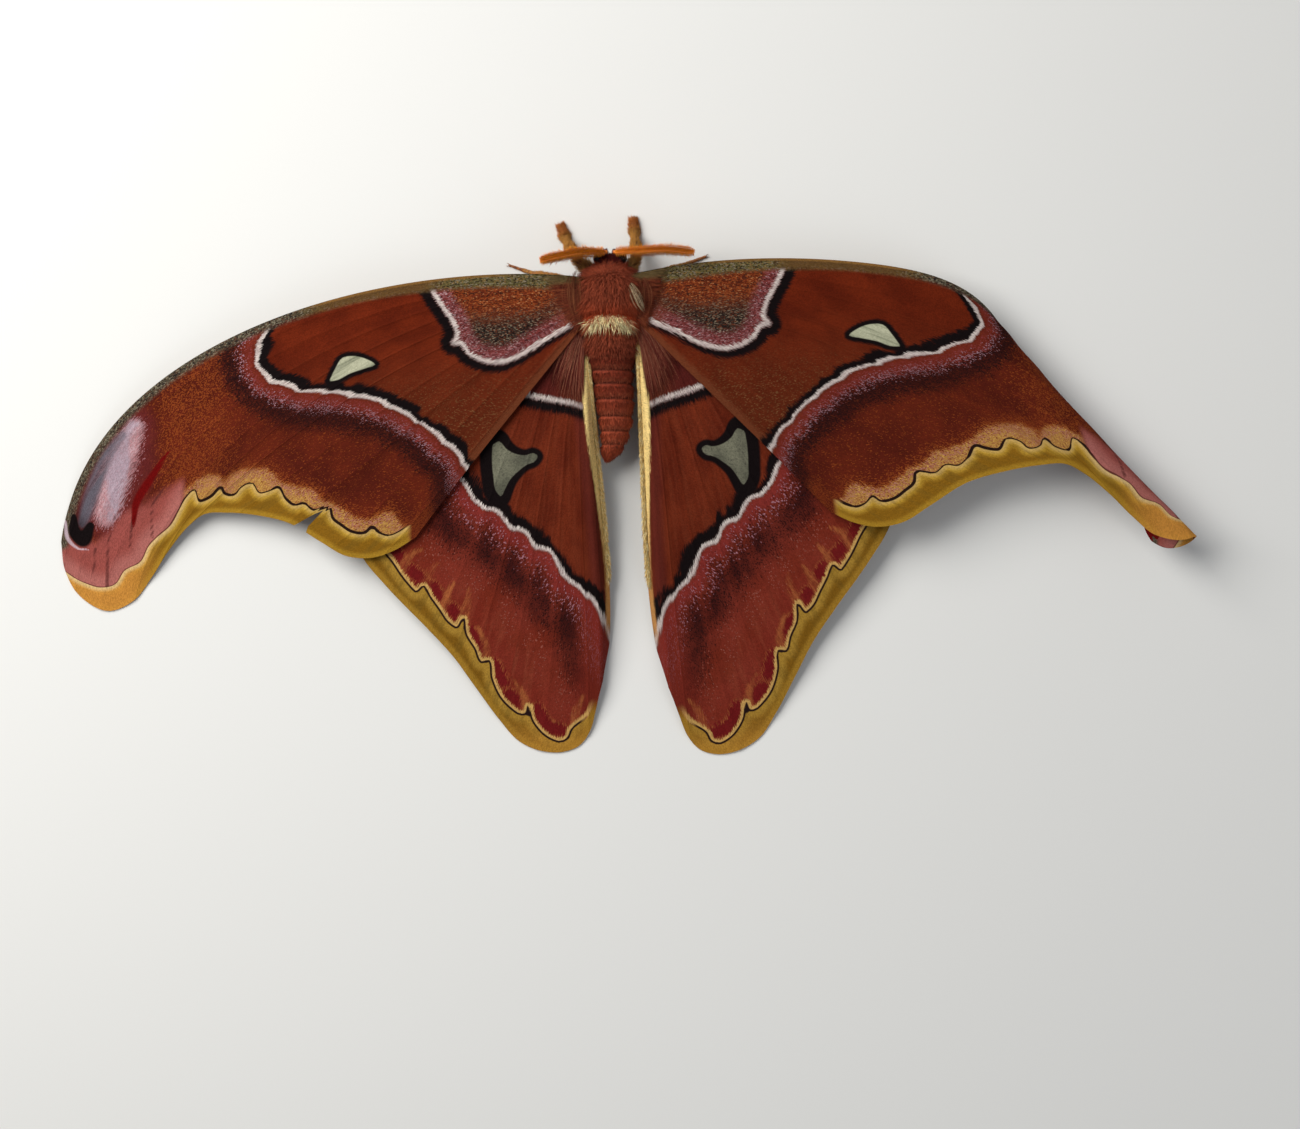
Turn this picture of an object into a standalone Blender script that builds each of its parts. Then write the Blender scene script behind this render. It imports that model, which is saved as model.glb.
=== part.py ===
"""A still, life-size male atlas moth, resting with its four wings spread.

Lengths are written in millimetres and multiplied by MM as a mesh is made.
The floor is at z = 0, the head points to +Y and the moth's left side to -X.
A wing is drawn on its own plan: X is the distance out from the body's middle line,
Y the distance ahead of the thorax's centre. The moth's left wings keep that plan,
and the right ones are swung a little forward, as the moth holds them.
"""

import math

import bmesh
import bpy
import numpy as np

MM = 0.001
GAP = 0.3

# Where the centre of the thorax stands on the floor, from the middle of the whole outline
THORAX_AT = np.array([-3.2, 39.4])

# Body
THORAX_LENGTH = 15.6
THORAX_WIDTH = 16.4
THORAX_HEIGHT = 12.6
THORAX_Z = 10.2
HEAD_AT = np.array([0.2, 7.2, 8.0])
HEAD_SIZE = np.array([6.6, 6.0, 6.0])
EYE_RADIUS = 1.55
EYE_SQUASH = 0.86
EYE_AT = np.array([2.25, 1.75, -0.7])
PALP_LENGTH = 3.0
PALP_AT = np.array([0.95, 1.9, -2.3])
ABDOMEN_START = -5.5
ABDOMEN_LENGTH = 28.6
ABDOMEN_SEGMENTS = 7
# How far down the abdomen, how wide it is there, and how far it sways to the moth's right
ABDOMEN_STATIONS = [
    (0.0, 11.4, 0.2), (0.15, 11.8, 0.2), (0.29, 9.8, 0.35), (0.40, 8.6, 0.7), (0.55, 8.1, 1.15),
    (0.72, 6.9, 1.4), (0.84, 5.6, 1.1), (0.93, 4.2, 0.4), (1.0, 2.6, -0.4),
]
ABDOMEN_FLATNESS = 0.96
ABDOMEN_Z = 8.7
RING_SWELL = 0.045

# Wings
MEMBRANE = 0.5
COSTA_THICKER = 0.25
VEIN_RISE = 0.25
VEIN_HALF_WIDTH = 0.55
# A vein's ridge comes up from nothing between these shares of its length before and after its start
VEIN_STARTS = (-0.02, 0.06)
WING_REACH = np.array([130.0, 93.0])
WING_HEIGHT = 11.0
DOME_POWER = 1.6
FOREWING_LIFT = 1.35
FOREWING_SWING = math.radians(7.0)
HINDWING_SWING = math.radians(8.0)
HINDWING_STRETCH = 1.03
INNER_FOLD = 3.0

# Feelers and legs
ANTENNA_SHAFT = 0.5
RAMUS_LENGTH = 4.3
RAMUS_THICK = 0.56
RAMUS_PAIRS = 19
RAMI_FROM, RAMI_TO = 0.08, 0.97
RAMUS_SWEEP = 0.32
COMB_HALF_WIDTH = 0.62
FEMUR_RADIUS = 1.15
TIBIA_RADIUS = 1.0
TARSUS_RADIUS = 0.62
# The forelegs wear a thicker coat than the others
LEG_FULLNESS = {"foreleg": 1.55, "midleg": 1.0, "hindleg": 1.0}
FLOOR_PATH = 0.3
SHARP_EDGE = math.radians(50.0)

LEFT, RIGHT = -1, 1
SIDE_NAMES = {LEFT: "left", RIGHT: "right"}


def smoothstep(value, low, high):
    """0 below low, 1 above high, and an even S-curve between."""
    t = np.clip((np.asarray(value, float) - low) / (high - low), 0.0, 1.0)
    return t * t * (3 - 2 * t)


def spline(points, t):
    """A smooth curve through the points, at t from 0 to 1 of its chord length."""
    points = np.asarray(points, float)
    steps = np.linalg.norm(np.diff(points, axis=0), axis=1)
    knots = np.concatenate([[0.0], np.cumsum(steps)]) / steps.sum()
    slopes = np.gradient(points, knots, axis=0)
    t = np.clip(np.asarray(t, float), 0.0, 1.0)
    i = np.clip(np.searchsorted(knots, t, side="right") - 1, 0, len(steps) - 1)
    span = (knots[i + 1] - knots[i])[..., None]
    s = ((t - knots[i]) / (knots[i + 1] - knots[i]))[..., None]
    return (
        (1 + 2 * s) * (1 - s) ** 2 * points[i]
        + s * (1 - s) ** 2 * span * slopes[i]
        + s * s * (3 - 2 * s) * points[i + 1]
        + s * s * (s - 1) * span * slopes[i + 1]
    )


class WingShape:
    """A wing's plan: veins that fan out from the root line to the outer margin.

    v runs across the wing, from 0 at the leading edge to 1 at the inner margin.
    u runs along a vein, from 0 at the root to 1 at the outer margin. Each vein is a
    cubic Bezier, which leaves the root along start_pull and arrives along end_pulls.
    """

    def __init__(self, root, start_pull, end_pulls, margin, veins, cell_columns, tear=()):
        self.root = np.array(root, float)
        self.start_pull = np.array(start_pull, float)
        self.end_pulls = end_pulls
        self.margin = margin
        self.veins = veins
        self.cell_columns = cell_columns
        self.tear = tear

    def plan(self, u, v):
        """Points of the plan at u and v, in millimetres."""
        u = u[..., None]
        across = v[..., None]
        start = self.root[0] * (1 - across) + self.root[1] * across
        end = spline(self.margin, v)
        knots = [at for at, _ in self.end_pulls]
        pull = np.stack(
            [np.interp(v, knots, [p[axis] for _, p in self.end_pulls]) for axis in (0, 1)],
            axis=-1,
        )
        first = start + self.start_pull[0] * (1 - across) + self.start_pull[1] * across
        second = end + pull
        return (
            (1 - u) ** 3 * start
            + 3 * u * (1 - u) ** 2 * first
            + 3 * u * u * (1 - u) * second
            + u**3 * end
        )

    def columns(self):
        """(v, foot) of each column: foot is 0 on a crest, -1 or 1 beside it, None between."""
        stops = [0.0] + [v for v, _ in self.veins] + [1.0]
        found = [(0.0, None)]
        for k, (v, _) in enumerate(self.veins):
            found += self.between(stops[k], v, self.cell_columns[k])
            found += [(v, -1), (v, 0), (v, 1)]
        found += self.between(stops[-2], 1.0, self.cell_columns[-1])
        found += [(v, None) for v in self.tear]
        return sorted(found + [(1.0, None)], key=lambda column: (column[0], column[1] or 0))

    @staticmethod
    def between(low, high, count):
        """Columns spread evenly between two veins."""
        return [(low + (high - low) * (n + 1) / (count + 1), None) for n in range(count)]


# The tear in the left forewing's margin: where across the wing, how wide and how deep
TEAR_AT, TEAR_HALF_WIDTH, TEAR_DEPTH = 0.7175, 0.010, 0.085

FOREWING = WingShape(
    root=[(4.6, 4.4), (4.6, -4.6)],
    start_pull=[(41.4, 4.8), (12.4, -15.6)],
    end_pulls=[
        (0.0, (-5.5, 43.2)),
        (0.20, (-6.0, 42.0)),
        (0.33, (-12.0, 30.0)),
        (0.47, (-20.0, 20.0)),
        (0.60, (-24.0, 15.0)),
        (0.80, (-22.0, 17.0)),
        (1.0, (-11.6, 15.6)),
    ],
    margin=[
        (116.9, -51.0), (116.1, -56.9), (113.3, -62.1), (106.6, -65.7),
        (101.6, -63.6), (97.6, -58.6), (93.7, -52.7), (89.6, -47.4),
        (86.2, -45.2), (80.9, -44.8), (74.5, -45.4), (68.1, -46.9),
        (60.7, -51.2), (55.6, -54.0), (50.4, -54.4), (45.4, -52.8), (40.8, -50.0),
    ],
    veins=[
        (0.05, 0.0), (0.11, 0.0), (0.18, 0.0), (0.26, 0.25), (0.36, 0.38),
        (0.47, 0.38), (0.58, 0.38), (0.69, 0.3), (0.80, 0.0), (0.92, 0.0),
    ],
    cell_columns=[0, 0, 0, 1, 1, 1, 1, 1, 1, 1, 1],
    tear=[TEAR_AT - TEAR_HALF_WIDTH, TEAR_AT, TEAR_AT + TEAR_HALF_WIDTH],
)

HINDWING = WingShape(
    root=[(4.6, -1.2), (4.6, -6.0)],
    start_pull=[(21.0, -3.5), (-0.4, -20.0)],
    end_pulls=[
        (0.0, (-4.0, 18.0)),
        (0.30, (-14.0, 20.0)),
        (0.60, (-8.0, 28.0)),
        (0.80, (0.0, 30.0)),
        (1.0, (-0.9, 22.0)),
    ],
    margin=[
        (54.8, -45.5), (54.2, -50.5), (51.4, -55.6), (47.9, -59.7),
        (44.3, -63.6), (38.3, -69.7), (32.9, -75.7), (28.4, -82.0),
        (23.6, -88.6), (19.1, -93.6), (14.2, -95.6), (9.6, -95.7),
        (6.3, -94.3), (4.2, -91.4), (2.8, -86.4), (1.4, -79.6), (-0.1, -71.9),
    ],
    veins=[
        (0.07, 0.0), (0.19, 0.3), (0.31, 0.36), (0.43, 0.36),
        (0.55, 0.36), (0.67, 0.3), (0.79, 0.0), (0.91, 0.0),
    ],
    cell_columns=[0, 1, 1, 1, 1, 1, 1, 1, 0],
)
FOREWING_ROWS = 16
HINDWING_ROWS = 13

# The right forewing's leading edge and tip roll under along this line of its plan
ROLL_FROM = np.array([62.9, -10.8])
ROLL_TO = np.array([105.6, -58.3])
LOBE_DRAWN_OUT = np.array([5.0, -1.0])
LOBE_TURNED_OVER = 3.0
ROLL_RADIUS = 14.0
ROLL_TIGHTENS_OVER = 60.0
ROLL_FLATTENED = 0.47
HANGING_TURN, TIP_TURN = 1.7, 2.45
TIP_BEGINS, TIP_ENDS = 60.0, 76.0
RIGHT_TIP_HEIGHT = 12.2


def dome(plan):
    """Height of the spread wings over the floor: highest at the thorax, nothing at WING_REACH."""
    t = np.hypot(plan[..., 0] / WING_REACH[0], plan[..., 1] / WING_REACH[1])
    return WING_HEIGHT * np.clip(1 - t**DOME_POWER, 0.0, None)


def roll_under(plan, height):
    """Wraps what lies ahead of the roll line round a cone that tightens towards the tip.

    The leading edge turns down and hangs from there, and only the tip turns right under.
    """
    along = (ROLL_TO - ROLL_FROM) / np.linalg.norm(ROLL_TO - ROLL_FROM)
    ahead = np.array([-along[1], along[0]])
    drawn_out = LOBE_DRAWN_OUT * smoothstep(plan[..., :1], 50.0, 88.0)
    turned_over = LOBE_TURNED_OVER * ahead * smoothstep(plan[..., :1], 86.0, 112.0)
    plan = plan + drawn_out + turned_over
    offset = plan - ROLL_FROM
    down_line = offset @ along
    radius = ROLL_RADIUS * np.exp(-down_line / ROLL_TIGHTENS_OVER)
    past = np.clip(offset @ ahead, 0.0, None)
    most = HANGING_TURN + (TIP_TURN - HANGING_TURN) * smoothstep(down_line, TIP_BEGINS, TIP_ENDS)
    turn = np.minimum(past / radius, most)
    rest = past - radius * turn
    out = radius * np.sin(turn) + rest * np.cos(turn)
    drop = radius * (1 - np.cos(turn)) + rest * np.sin(turn)
    return plan + (out - past)[..., None] * ahead, height - ROLL_FLATTENED * drop


def to_floor(plan, height, side, swing, stretch=1.0):
    """Takes plan points and heights to where they stand. The right wings swing forward."""
    x, y = plan[..., 0], plan[..., 1]
    if side == RIGHT:
        c, s = math.cos(swing), math.sin(swing)
        x, y = c * x - s * y, stretch * (s * x + c * y)
    return np.stack([side * x + THORAX_AT[0], y + THORAX_AT[1], height], axis=-1)


def forewing_surface(u, v, side):
    """The middle surface of a forewing. Only the right one is held up and rolls at its tip."""
    plan = FOREWING.plan(u, v)
    free = smoothstep(plan[..., 0], 55.0, 95.0)
    height = MEMBRANE / 2 + dome(plan) + FOREWING_LIFT * (1 - free)
    if side == RIGHT:
        height = height + (RIGHT_TIP_HEIGHT - height) * smoothstep(plan[..., 0], 20.0, 90.0)
        plan, height = roll_under(plan, height)
    return to_floor(plan, height, side, FOREWING_SWING)


def hindwing_surface(u, v, side):
    """The middle surface of a hindwing, whose inner margin turns down beside the abdomen."""
    plan = HINDWING.plan(u, v)
    turned_down = INNER_FOLD * smoothstep(v, 0.88, 1.0) * smoothstep(u, 0.08, 0.4)
    height = MEMBRANE / 2 + np.clip(dome(plan) - turned_down, 0.0, None)
    return to_floor(plan, height, side, HINDWING_SWING, HINDWING_STRETCH)


def wing_columns(shape, surface, rows, side):
    """u and v of the grid, with each vein's feet set a fixed distance beside its crest."""
    columns = shape.columns()
    u = np.repeat(np.linspace(0, 1, rows)[:, None], len(columns), axis=1)
    v = np.repeat(np.array([at for at, _ in columns])[None, :], rows, axis=0)
    step = 0.004
    width = np.linalg.norm(surface(u, v + step, side) - surface(u, v - step, side), axis=-1)
    foot = np.array([f or 0 for _, f in columns])
    nearest = 0.3 * np.min(np.diff([0.0] + [at for at, _ in shape.veins] + [1.0]))
    offset = np.minimum(VEIN_HALF_WIDTH * 2 * step / np.maximum(width, 1e-6), nearest)
    return u, np.clip(v + foot[None, :] * offset, 0.0, 1.0), columns


def grid_normals(points):
    """Unit normals of a grid of points, turned to the wing's upper side."""
    across = np.gradient(points, axis=1)
    along = np.gradient(points, axis=0)
    normal = np.cross(across, along)
    normal /= np.linalg.norm(normal, axis=-1, keepdims=True)
    root = normal[0, normal.shape[1] // 2]
    return normal if root[2] > 0 else -normal


def mesh_object(name, vertices, faces, material):
    """An object from vertices in millimetres, with its normals facing out."""
    mesh = bpy.data.meshes.new(name)
    mesh.from_pydata([tuple(p * MM) for p in np.asarray(vertices, float)], [], faces)
    work = bmesh.new()
    work.from_mesh(mesh)
    bmesh.ops.recalc_face_normals(work, faces=work.faces)
    work.to_mesh(mesh)
    work.free()
    mesh.materials.append(material)
    obj = bpy.data.objects.new(name, mesh)
    bpy.context.scene.collection.objects.link(obj)
    return obj


def sheet(name, upper, lower, material):
    """A closed thin sheet between two grids, split into triangles alike on both faces."""
    rows, columns = upper.shape[:2]
    index = np.arange(rows * columns).reshape(rows, columns)
    below = index + rows * columns
    faces = []
    for i in range(rows - 1):
        for j in range(columns - 1):
            a, b, c, d = index[i, j], index[i, j + 1], index[i + 1, j + 1], index[i + 1, j]
            faces += [(a, b, c), (a, c, d)]
            faces += [tuple(n + rows * columns for n in f) for f in ((c, b, a), (d, c, a))]
    rim = [(i, 0) for i in range(rows)]
    rim += [(rows - 1, j) for j in range(1, columns)]
    rim += [(i, columns - 1) for i in range(rows - 2, -1, -1)]
    rim += [(0, j) for j in range(columns - 2, 0, -1)]
    for here, after in zip(rim, rim[1:] + rim[:1]):
        faces += [(index[here], below[here], below[after]), (index[here], below[after], index[after])]
    faces = [tuple(int(n) for n in face) for face in faces]
    points = np.concatenate([upper.reshape(-1, 3), lower.reshape(-1, 3)])
    return mesh_object(name, points, faces, material)


def wing(name, shape, surface, rows, side, material, torn=False):
    """One wing: a thin membrane whose main veins stand up as ridges on its upper face."""
    u, v, columns = wing_columns(shape, surface, rows, side)
    if torn:
        u = u * (1 - TEAR_DEPTH * np.clip(1 - np.abs(v - TEAR_AT) / TEAR_HALF_WIDTH, 0, 1))
    middle = surface(u, v, side)
    normal = grid_normals(middle)
    crest = np.array([f == 0 for _, f in columns], float)
    starts = np.array([next((s for at, s in shape.veins if at == c), 0.0) for c, _ in columns])
    risen = smoothstep(u, starts + VEIN_STARTS[0], starts + VEIN_STARTS[1])
    rise = VEIN_RISE * crest * risen * (1 - 0.6 * u)
    half = MEMBRANE / 2 + COSTA_THICKER * (v < 1e-9) * (1 - u)
    upper = middle + normal * (half + rise)[..., None]
    lower = middle - normal * half[..., None]
    lower[..., 2] = np.maximum(lower[..., 2], 0.0)
    return sheet(name, upper, lower, material)


def rings(centres, half_widths, half_heights, sides, squareness=2.0, grow=0.0):
    """Rings of points round centres along Y. squareness 2 gives ellipses, more gives fuller ones."""
    angle = np.linspace(0, 2 * math.pi, sides, endpoint=False)
    c, s = np.cos(angle), np.sin(angle)
    x = np.sign(c) * np.abs(c) ** (2 / squareness)
    z = np.sign(s) * np.abs(s) ** (2 / squareness)
    width = np.maximum(half_widths + grow, 0.02)[:, None]
    height = np.maximum(half_heights + grow, 0.02)[:, None]
    return np.stack(
        [
            centres[:, :1] + width * x,
            np.repeat(centres[:, 1:2], sides, axis=1),
            centres[:, 2:] + height * z,
        ],
        axis=-1,
    )


def tube(name, ring_points, first, last, material):
    """A closed body over rings of points, with one point closing each end."""
    count, sides = ring_points.shape[:2]
    faces = []
    for i in range(count - 1):
        for j in range(sides):
            k = (j + 1) % sides
            a, b = i * sides + j, i * sides + k
            faces.append((a, b, b + sides, a + sides))
    end = count * sides
    for j in range(sides):
        k = (j + 1) % sides
        faces.append((end, k, j))
        faces.append((end + 1, (count - 1) * sides + j, (count - 1) * sides + k))
    points = np.concatenate([ring_points.reshape(-1, 3), [first], [last]])
    return mesh_object(name, points, faces, material)


def in_body(points):
    """Takes points round the thorax's centre to where they stand on the floor."""
    return np.asarray(points, float) + np.append(THORAX_AT, 0.0)


def thorax(name, material, grow=0.0):
    """The thorax with its coat: broad at the shoulders, narrower at the neck and the waist."""
    count, sides = 13, 22
    t = np.sin(np.linspace(-math.pi / 2, math.pi / 2, count + 2))[1:-1]
    y = t * (THORAX_LENGTH / 2 + grow)
    bulge = np.sqrt(1 - t**2)
    half_width = THORAX_WIDTH / 2 * bulge * (1 - 0.06 * t)
    half_height = THORAX_HEIGHT / 2 * bulge * (1 - 0.05 * t)
    centres = np.stack([0 * y, y, THORAX_Z - 0.4 * t], axis=-1)
    body = rings(centres, half_width, half_height, sides, squareness=2.3, grow=grow)
    ends = [(0.0, s * (THORAX_LENGTH / 2 + grow), THORAX_Z - 0.4 * s) for s in (-1, 1)]
    return tube(name, in_body(body), in_body(ends[0]), in_body(ends[1]), material)


def ball(name, centre, half_sizes, sides, count, material, grow=0.0):
    """An egg of the given half sizes, with its poles along Y."""
    t = np.sin(np.linspace(-math.pi / 2, math.pi / 2, count + 2))[1:-1]
    half = np.asarray(half_sizes, float) + grow
    centres = np.asarray(centre) + np.outer(t * half[1], (0, 1, 0))
    bulge = np.sqrt(1 - t**2)
    body = rings(centres, half[0] * bulge, half[2] * bulge, sides)
    ends = [np.asarray(centre) + (0, s * half[1], 0) for s in (-1, 1)]
    return tube(name, in_body(body), in_body(ends[0]), in_body(ends[1]), material)


def abdomen(name, material, grow=0.0):
    """The abdomen: seven furry rings that narrow to the tail and droop towards the floor."""
    per_ring, sides = 3, 20
    count = ABDOMEN_SEGMENTS * per_ring + 1
    t = np.linspace(0.0, 1.0, count)
    phase = (t * ABDOMEN_SEGMENTS) % 1.0
    phase[-1] = 1.0
    stations = np.array(ABDOMEN_STATIONS)
    ringed = 1 + RING_SWELL * np.sin(math.pi * phase)
    sway = np.interp(t, stations[:, 0], stations[:, 2])
    centres = np.stack(
        [sway, ABDOMEN_START - ABDOMEN_LENGTH * t, ABDOMEN_Z - 0.6 * t - 2.8 * t**2],
        axis=-1,
    )
    half_width = np.interp(t, stations[:, 0], stations[:, 1]) / 2 * ringed
    body = rings(centres, half_width, ABDOMEN_FLATNESS * half_width, sides, grow=grow)
    first = centres[0] + (0, 0.4 + grow, 0)
    last = centres[-1] + (0, -1.0 - grow, 0)
    return tube(name, in_body(body), in_body(first), in_body(last), material)


def swept(path, radii, sides):
    """The rings and the two end points of a round tube along a path, with a radius at each point."""
    path = np.asarray(path, float)
    along = np.gradient(path, axis=0)
    along /= np.linalg.norm(along, axis=1, keepdims=True)
    side = np.cross(along, (0.0, 0.0, 1.0))
    side /= np.linalg.norm(side, axis=1, keepdims=True)
    up = np.cross(side, along)
    angle = np.linspace(0, 2 * math.pi, sides, endpoint=False)
    radii = np.asarray(radii, float)[:, None, None]
    circle = np.cos(angle)[None, :, None] * side[:, None] + np.sin(angle)[None, :, None] * up[:, None]
    body = path[:, None] + radii * circle
    first = path[0] - along[0] * radii[0, 0, 0] * 0.5
    last = path[-1] + along[-1] * radii[-1, 0, 0] * 0.7
    return body, first, last


def leg(name, joints, fullness, material):
    """One leg from its root in the thorax to a foot that lies flat on the floor.

    joints are the root, the knee, the ankle, the heel and the claw end. The femur and the
    tibia swell between the joints, and the tarsus tapers to the foot. Each part gives its
    first joint, its rings and its radii, which fullness multiplies below the knee.
    """
    parts = (
        (0, 5, (0.7 * FEMUR_RADIUS, FEMUR_RADIUS, 0.72 * fullness)),
        (1, 5, (0.72 * fullness, TIBIA_RADIUS * fullness, 0.66 * fullness)),
        (2, 2, (0.66 * fullness, 0.64 * fullness, TARSUS_RADIUS * fullness)),
        (3, 4, (TARSUS_RADIUS * fullness, 0.58 * fullness, 0.5 * fullness)),
    )
    joints = np.asarray(joints, float)
    path, radii = [], []
    for part, steps, sizes in parts:
        t = np.linspace(0, 1, steps, endpoint=part == 3)
        path.append(joints[part] + t[:, None] * (joints[part + 1] - joints[part]))
        radii.append(np.interp(t, (0, 0.45, 1), sizes))
    body, first, last = swept(np.concatenate(path), np.concatenate(radii), 8)
    for points in (body, first, last):
        points[..., 2] = np.maximum(points[..., 2], 0.0)
    return tube(name, in_body(body), in_body(first), in_body(last), material)


def blade(name, root, tip, width_along, half_width, material):
    """A tapering ramus from root to tip, four-sided, pointed at the tip."""
    root, tip = np.asarray(root, float), np.asarray(tip, float)
    along = (tip - root) / np.linalg.norm(tip - root)
    wide = width_along - along * (width_along @ along)
    wide /= np.linalg.norm(wide)
    thick = np.cross(along, wide)
    corners = [(1, 0), (0, 1), (-1, 0), (0, -1)]
    sections = ((0.0, 1.0), (0.7, 0.8))
    body = np.array([
        [
            root + t * (tip - root) + size * half_width * (a * wide + b * thick)
            for a, b in corners
        ]
        for t, size in sections
    ])
    return tube(name, in_body(body), in_body(root), in_body(tip), material)


def join_all(target, pieces):
    """Joins closed pieces to the target by one Boolean union, and removes them."""
    group = bpy.data.collections.new(target.name + "_pieces")
    bpy.context.scene.collection.children.link(group)
    for piece in pieces:
        bpy.context.scene.collection.objects.unlink(piece)
        group.objects.link(piece)
    modifier = target.modifiers.new("join", "BOOLEAN")
    modifier.operation = "UNION"
    modifier.operand_type = "COLLECTION"
    modifier.collection = group
    modifier.solver = "MANIFOLD"
    settle(target)
    for piece in pieces:
        bpy.data.objects.remove(piece)
    bpy.data.collections.remove(group)


def settle(obj):
    """Applies the object's modifiers to its mesh."""
    graph = bpy.context.evaluated_depsgraph_get()
    made = bpy.data.meshes.new_from_object(obj.evaluated_get(graph))
    obj.modifiers.clear()
    obj.data = made


def keep_largest(obj):
    """Keeps only the largest closed surface of a mesh, and drops the scraps of a cut."""
    work = bmesh.new()
    work.from_mesh(obj.data)
    left, groups = set(work.faces), []
    while left:
        stack, group = [left.pop()], []
        while stack:
            face = stack.pop()
            group.append(face)
            for edge in face.edges:
                for other in edge.link_faces:
                    if other in left:
                        left.remove(other)
                        stack.append(other)
        groups.append(group)
    groups.sort(key=lambda g: sum(f.calc_area() for f in g), reverse=True)
    for group in groups[1:]:
        bmesh.ops.delete(work, geom=group, context="FACES")
    loose = [vert for vert in work.verts if not vert.link_faces]
    bmesh.ops.delete(work, geom=loose, context="VERTS")
    work.to_mesh(obj.data)
    work.free()


def cut_clear(obj, make_cutter):
    """Cuts away what reaches into a neighbour, which make_cutter gives grown by the gap."""
    cutter = make_cutter(GAP)
    modifier = obj.modifiers.new("clear", "BOOLEAN")
    modifier.operation = "DIFFERENCE"
    modifier.object = cutter
    modifier.solver = "EXACT"
    settle(obj)
    bpy.data.objects.remove(cutter)
    keep_largest(obj)


ANTENNA_PATHS = {
    LEFT: [(-0.55, 9.7, 9.7), (-5.4, 9.6, 12.2), (-10.3, 8.7, 13.6), (-14.4, 7.7, 14.2)],
    RIGHT: [(0.95, 9.7, 9.7), (6.5, 10.4, 12.0), (12.0, 10.9, 13.4), (18.1, 9.8, 14.0)],
}


def antenna(side, material):
    """A feathery feeler: a shaft with two rows of rami, longest at its middle."""
    name = "antenna_" + SIDE_NAMES[side]
    points = ANTENNA_PATHS[side]
    t = np.linspace(0, 1, 15)
    path = spline(points, t)
    body, first, last = swept(path, ANTENNA_SHAFT * (1 - 0.35 * t), 8)
    shaft = tube(name, in_body(body), in_body(first), in_body(last), material)
    pieces = []
    for n in range(RAMUS_PAIRS):
        at = RAMI_FROM + (RAMI_TO - RAMI_FROM) * n / (RAMUS_PAIRS - 1)
        root = spline(points, np.array([at]))[0]
        ahead = spline(points, np.array([min(at + 0.03, 1.0)]))[0]
        along = ahead - spline(points, np.array([at - 0.03]))[0]
        along /= np.linalg.norm(along)
        length = RAMUS_LENGTH * (0.12 + 0.88 * math.sin(math.pi * (0.04 + 0.84 * at)))
        for up in (1, -1):
            forward = COMB_HALF_WIDTH if n % 2 else -COMB_HALF_WIDTH
            out = np.array([0.0, forward, up * length]) + RAMUS_SWEEP * length * along
            out *= length / np.linalg.norm(out)
            pieces.append(blade(f"ramus_{n}_{up}", root, root + out, along, RAMUS_THICK / 2, material))
    join_all(shaft, pieces)
    return shaft


def head(name, material, grow=0.0):
    """The small head. Without grow it also carries the two short palps below the face."""
    body = ball(name, HEAD_AT, HEAD_SIZE / 2, 18, 9, material, grow=grow)
    if grow:
        return body
    palps = []
    for side in (LEFT, RIGHT):
        centre = HEAD_AT + PALP_AT * (side, 1, 1)
        palps.append(ball(f"palp_{side}", centre, (0.75, PALP_LENGTH / 2, 0.8), 10, 5, material))
    join_all(body, palps)
    return body


def eye(name, side, material, grow=0.0):
    """An eye in the side of the head, a little flattened from side to side."""
    centre = HEAD_AT + EYE_AT * (side, 1, 1)
    half = np.array([EYE_RADIUS * EYE_SQUASH, EYE_RADIUS, EYE_RADIUS])
    return ball(name, centre, half, 16, 8, material, grow=grow)


LEG_JOINTS = {
    ("foreleg", LEFT): [
        (-2.4, 5.0, 6.2), (-7.2, 9.0, 6.4), (-8.8, 12.4, 1.8), (-9.4, 13.8, FLOOR_PATH),
        (-10.5, 16.6, FLOOR_PATH),
    ],
    ("foreleg", RIGHT): [
        (3.4, 5.0, 6.0), (5.8, 9.2, 6.0), (5.5, 13.2, 1.8), (5.3, 15.0, FLOOR_PATH),
        (5.0, 18.0, FLOOR_PATH),
    ],
    ("midleg", LEFT): [
        (-3.6, 2.6, 5.6), (-11.0, 5.2, 7.0), (-16.2, 6.2, 2.0), (-18.2, 6.9, FLOOR_PATH),
        (-21.4, 8.0, FLOOR_PATH),
    ],
    ("midleg", RIGHT): [
        (3.8, 2.6, 5.6), (10.4, 6.0, 7.0), (15.2, 7.8, 2.0), (17.2, 8.6, FLOOR_PATH),
        (20.6, 9.9, FLOOR_PATH),
    ],
    ("hindleg", LEFT): [
        (-3.6, -1.6, 5.4), (-9.6, -7.0, 5.8), (-12.6, -13.4, 1.8), (-13.4, -15.6, FLOOR_PATH),
        (-14.6, -19.4, FLOOR_PATH),
    ],
    ("hindleg", RIGHT): [
        (3.8, -1.6, 5.4), (10.0, -6.4, 5.8), (13.6, -12.4, 1.8), (14.6, -14.4, FLOOR_PATH),
        (16.4, -18.0, FLOOR_PATH),
    ],
}


def material(name, colour, roughness):
    """A Principled material of one colour."""
    made = bpy.data.materials.new(name)
    made.use_nodes = True
    shader = made.node_tree.nodes["Principled BSDF"]
    shader.inputs["Base Color"].default_value = (*colour, 1.0)
    shader.inputs["Roughness"].default_value = roughness
    shader.inputs["Metallic"].default_value = 0.0
    return made


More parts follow.
